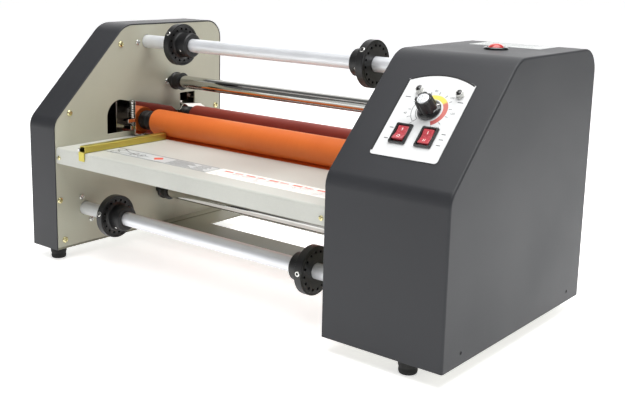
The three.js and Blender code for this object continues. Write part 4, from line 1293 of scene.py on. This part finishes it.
def make_rollers():
    for place_name, (radius, finish, slot) in ROLLERS.items():
        for level in ("upper", "lower"):
            body = f"{place_name}_{level}_roller"
            sleeve, core = f"{place_name}_{level}_sleeve", f"{place_name}_{level}_core"
            low, high = extent(sleeve)
            centre = middle(sleeve)
            axis = along_x(centre.y, centre.z)
            profile = [(10.12, low.x), (radius, low.x), (radius, high.x), (10.12, high.x)]
            rubber_sleeve = lathe(eased(profile, 0.8, 4, True), axis, 96, closed=True)
            settle(f"{place_name}_{level}_rubber", rubber_sleeve, finish, body, sleeve)
            low, high = extent(core)
            step = BEARING_END + 0.5
            shaft = eased([(5, low.x), (8, low.x), (8, step), (10, step), (10, MIRROR - step),
                           (8, MIRROR - step), (8, high.x), (5, high.x)], 0.4, closed=True)
            settle(f"{place_name}_{level}_shaft", lathe(shaft, axis, 64, closed=True), STEEL, body, core)


def make_roller_frames():
    """The steel side frames that hold the lower rollers and guide the carriages."""
    window = rectangle(122, 140.3, 226, 182)
    for side, mirror, across in both_ends():
        parts = [plate(rectangle(104, 100, 240, 190, 3), 30, 34, across, [window], bevel=0.3)]
        for pair in ("front", "rear"):
            centre = middle(f"{pair}_lower_core")
            boss = eased([(JOURNAL, 30), (14, 30), (14, BEARING_END - 0.8), (13.2, BEARING_END),
                          (JOURNAL, BEARING_END)], 0.4, closed=True)
            parts.append(lathe(boss, across @ Matrix.Translation((centre.y, centre.z, 0)), 64, closed=True))
        for y, z in ((112, 110), (234, 110), (234, 178)):
            pillar = [(0, 33), (5, 33), (5, 44.7), (0, 44.7)]
            parts.append(lathe(pillar, across @ Matrix.Translation((y, z, 0)), 32))
        parts.append(plate(rectangle(33, 110, 54.2, 122, 1.2), 147.5, 152, mirror,
                           [circle(SPRING_AXIS, 2.3, 20)], bevel=0.25))
        if side == "right":
            gear = middle("idle_gear")
            pin = [(0, MIRROR - 34), (5, MIRROR - 34), (5, 475), (0, 475)]
            parts.append(lathe(pin, along_x(gear.y, gear.z), 32))
        settle(f"{side}_bearing_frame", outward(joined(*parts)), MIRROR_STEEL,
               stands_for=f"{side}_roller_frame")


def make_carriages():
    """The sliding bearing carriages: a polished face plate, a spring arm and black ribbed bushes."""
    brow = [(236, 164.7), (232.8, 166.2), (228, 169.6), (198.2, 172.3), (190, 164.4), (184.5, 164.7),
            (176.5, 170.8), (152, 176.4), (115, 183.6)]
    for side, mirror, across in both_ends():
        centres = [middle(f"{pair}_upper_core") for pair in ("front", "rear")]
        holes = [circle((centre.y, centre.z), JOURNAL, 40) for centre in centres]
        slab = plate(rectangle(122.3, 140.6, 225.7, 172, 1.5), 30, 34.6, across, holes, bevel=0.3)
        tie = plate(rectangle(217, 145, 225.4, 168, 1), 34.5, 54.7, across, bevel=0.2)
        spacer = eased([(JOURNAL, 34.5), (11.2, 34.5), (11.2, 54.7), (JOURNAL, 54.7)], 0.2, closed=True)
        front = centres[0]
        core = lathe(spacer, across @ Matrix.Translation((front.y, front.z, 0)), 56, closed=True)
        face = plate([(115, 141), (236, 141), *brow], 54.6, 57, across, holes, bevel=0.25)
        arm = plate(rectangle(47.4, 103.4, 55, 120.8, 1), 158.8, 161.5, mirror,
                    [circle(SPRING_AXIS, 2.4, 20)], bevel=0.25)
        lip = plate(rectangle(54.4, 103.4, 57, 116.5, 0.5), 157.2, 161.5, mirror, bevel=0.25)
        whole = outward(joined(slab, tie, core, face, arm, lip))
        settle(f"{side}_bearing_carriage", whole, MIRROR_PLATE, "upper_carriage", f"{side}_carriage")
        bushes, clips = [], []
        for centre in centres:
            place = across @ Matrix.Translation((centre.y, centre.z, 0))
            ribs = [point for x in (58.6, 61.4, 64.2)
                    for point in ((12, x), (12, x + 1.6), (11.1, x + 1.9), (11.1, x + 2.5))]
            bush = eased([(JOURNAL, 56.9), (12, 56.9), *ribs, (12, 67.4), (11.4, BEARING_END),
                          (JOURNAL, BEARING_END)], 0.2, 2, True)
            bushes.append(lathe(bush, place, 72, closed=True))
            clip = eased([(8.2, 67.9), (10.2, 67.9), (10.2, 68.3), (8.2, 68.3)], 0.1, 2, True)
            clips.append(lathe(clip, place, 56, closed=True))
        settle(f"{side}_bearing_bushes", outward(joined(*bushes)), BLACK, "upper_carriage")
        settle(f"{side}_bearing_circlips", outward(joined(*clips)), ZINC, "upper_carriage")


def make_springs():
    for side in ("left", "right"):
        centre = middle(f"{side}_pressure_spring")
        low, high = extent(f"{side}_pressure_spring")
        wire = 0.55
        coil = grow(WOUND_SPRING, {"Turns": 6.0, "Radius": 2.9, "Height": high.z - low.z - 2 * wire,
                                   "Wire": wire, "Material": ZINC})
        coil.transform(MACHINE @ Matrix.Translation((centre.x, centre.y, low.z + wire)))
        spring = settle(f"{side}_coil_spring", coil, ZINC, stands_for=f"{side}_pressure_spring",
                        sharp=60)
        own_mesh(spring)
        low, high = extent(f"{side}_pressure_screw")
        centre = middle(f"{side}_pressure_screw")
        thread = []
        pitch = 0.8
        head = high.z - 4
        for turn in range(int((head - low.z - 1) / pitch)):
            z = low.z + 0.6 + turn * pitch
            thread += [(1.55, z), (1.9, z + pitch / 2)]
        shank = lathe([(0, low.z), (1.5, low.z), *thread, (1.9, head), (3.4, head), (3.4, head + 2.2),
                       (2.8, head + 3.4), (1.6, head + 4), (0, head + 4)], upright(centre.x, centre.y), 28)
        slot_tool = box((centre.x - 4, centre.y - 0.4, head + 3), (centre.x + 4, centre.y + 0.4, head + 6),
                        bevel=0.02)
        settle(f"{side}_pressure_bolt", cut(shank, slot_tool), ZINC, stands_for=f"{side}_pressure_screw")


# ---- drive and electrics ----
def dress(nodes, finish):
    """Gives CAD nodes that keep their own shape a finish."""
    for name in nodes:
        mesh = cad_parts[name].data
        mesh.materials.clear()
        mesh.materials.append(finish)


def make_drive():
    dress(["front_lower_gear", "front_upper_gear", "rear_lower_gear", "rear_upper_gear", "idle_gear"], BRASS)
    dress(["motor_gear", "gear_motor", "motor_bracket"], STEEL)
    dress(["thermostat"], ALUMINIUM)
    dress(["control_board"], BOARD)
    dress(["power_inlet"], BLACK)


# ---- studio ----
def make_floor():
    """A wide sheet of white paper that glows a little, so that it stays white."""
    paper = Finish("white_paper", shade(250, 250, 250), 0.6, Emission_strength=0.62)
    paper.surface.inputs["Emission Color"].default_value = (1, 1, 1, 1)
    fibres = paper.noise(300, 4)
    paper.colour(paper.mixed(paper.ranged(fibres, 0, 1), shade(248, 248, 248), shade(252, 252, 252)))
    paper.gloss(fibres, 0.55, 0.65)
    shape = bmesh.new()
    bmesh.ops.create_grid(shape, x_segments=1, y_segments=1, size=12)
    mesh = bpy.data.meshes.new("floor")
    shape.to_mesh(mesh)
    shape.free()
    mesh.materials.append(paper.material)
    fresh_object("floor", mesh)


def softbox(name, position, target, size, power):
    light = bpy.data.lights.new(name, "AREA")
    light.shape, light.size, light.size_y = "RECTANGLE", size[0], size[1]
    light.energy = power
    lamp = fresh_object(name, light)
    lamp.location = position
    lamp.rotation_euler = (Vector(target) - Vector(position)).to_track_quat("-Z", "Y").to_euler()


def make_studio():
    """A white wall of light behind the machine, a dim room in front, and three soft boxes."""
    world = bpy.data.worlds.new("studio")
    bpy.context.scene.world = world
    world.use_nodes = True
    nodes, links = world.node_tree.nodes, world.node_tree.links
    towards = nodes.new("ShaderNodeVectorMath")
    towards.operation = "DOT_PRODUCT"
    towards.inputs[1].default_value = (-0.63, 0.777, 0)
    links.new(nodes.new("ShaderNodeTexCoord").outputs["Generated"], towards.inputs[0])
    wall = nodes.new("ShaderNodeMapRange")
    wall.interpolation_type = "SMOOTHSTEP"
    for label, value in (("From Min", 0.5), ("From Max", 0.8), ("To Min", 0.16), ("To Max", 1.25)):
        wall.inputs[label].default_value = value
    links.new(towards.outputs["Value"], wall.inputs["Value"])
    links.new(wall.outputs["Result"], nodes["Background"].inputs["Strength"])
    nodes["Background"].inputs["Color"].default_value = (1, 1, 1, 1)
    softbox("overhead_box", (0.3, -0.1, 1.7), (0, 0, 0.1), (1.9, 1.6), 44)
    softbox("front_box", (-0.9, -2.2, 0.7), (0, 0, 0.08), (1.4, 1.0), 2.8)
    softbox("right_box", (2.2, 0.3, 1.1), (0.2, 0, 0.12), (1.4, 1.4), 6)


def make_camera():
    lens, sensor = 55.64, 36.0
    azimuth, elevation, roll = 39.024, 11.503, 1.181
    camera = bpy.data.objects.new("camera", bpy.data.cameras.new("camera"))
    bpy.context.scene.collection.objects.link(camera)
    camera.data.lens, camera.data.sensor_width = lens, sensor
    camera.data.shift_x, camera.data.shift_y = 0.0175, -0.0738
    camera.data.clip_start, camera.data.clip_end = 0.05, 30
    camera.matrix_world = (
        Matrix.Translation((0.67371, -0.81003, 0.35813)) @ Matrix.Rotation(math.radians(azimuth), 4, "Z")
        @ Matrix.Rotation(math.radians(90 - elevation), 4, "X") @ Matrix.Rotation(math.radians(roll), 4, "Z"))
    bpy.context.scene.camera = camera
    bpy.context.scene.view_settings.view_transform = "Standard"


make_camera()
make_studio()
make_floor()
make_covers()
make_side_plates()
make_base()
make_feet()
make_housing_screws()
make_table()
make_table_labels()
make_guide()
make_control_plate()
make_dial()
make_switches()
make_top_switch()
make_knob()
make_lamps()
make_top_label()
make_mandrels()
make_chucks()
make_idlers()
make_rollers()
make_roller_frames()
make_carriages()
make_springs()
make_drive()
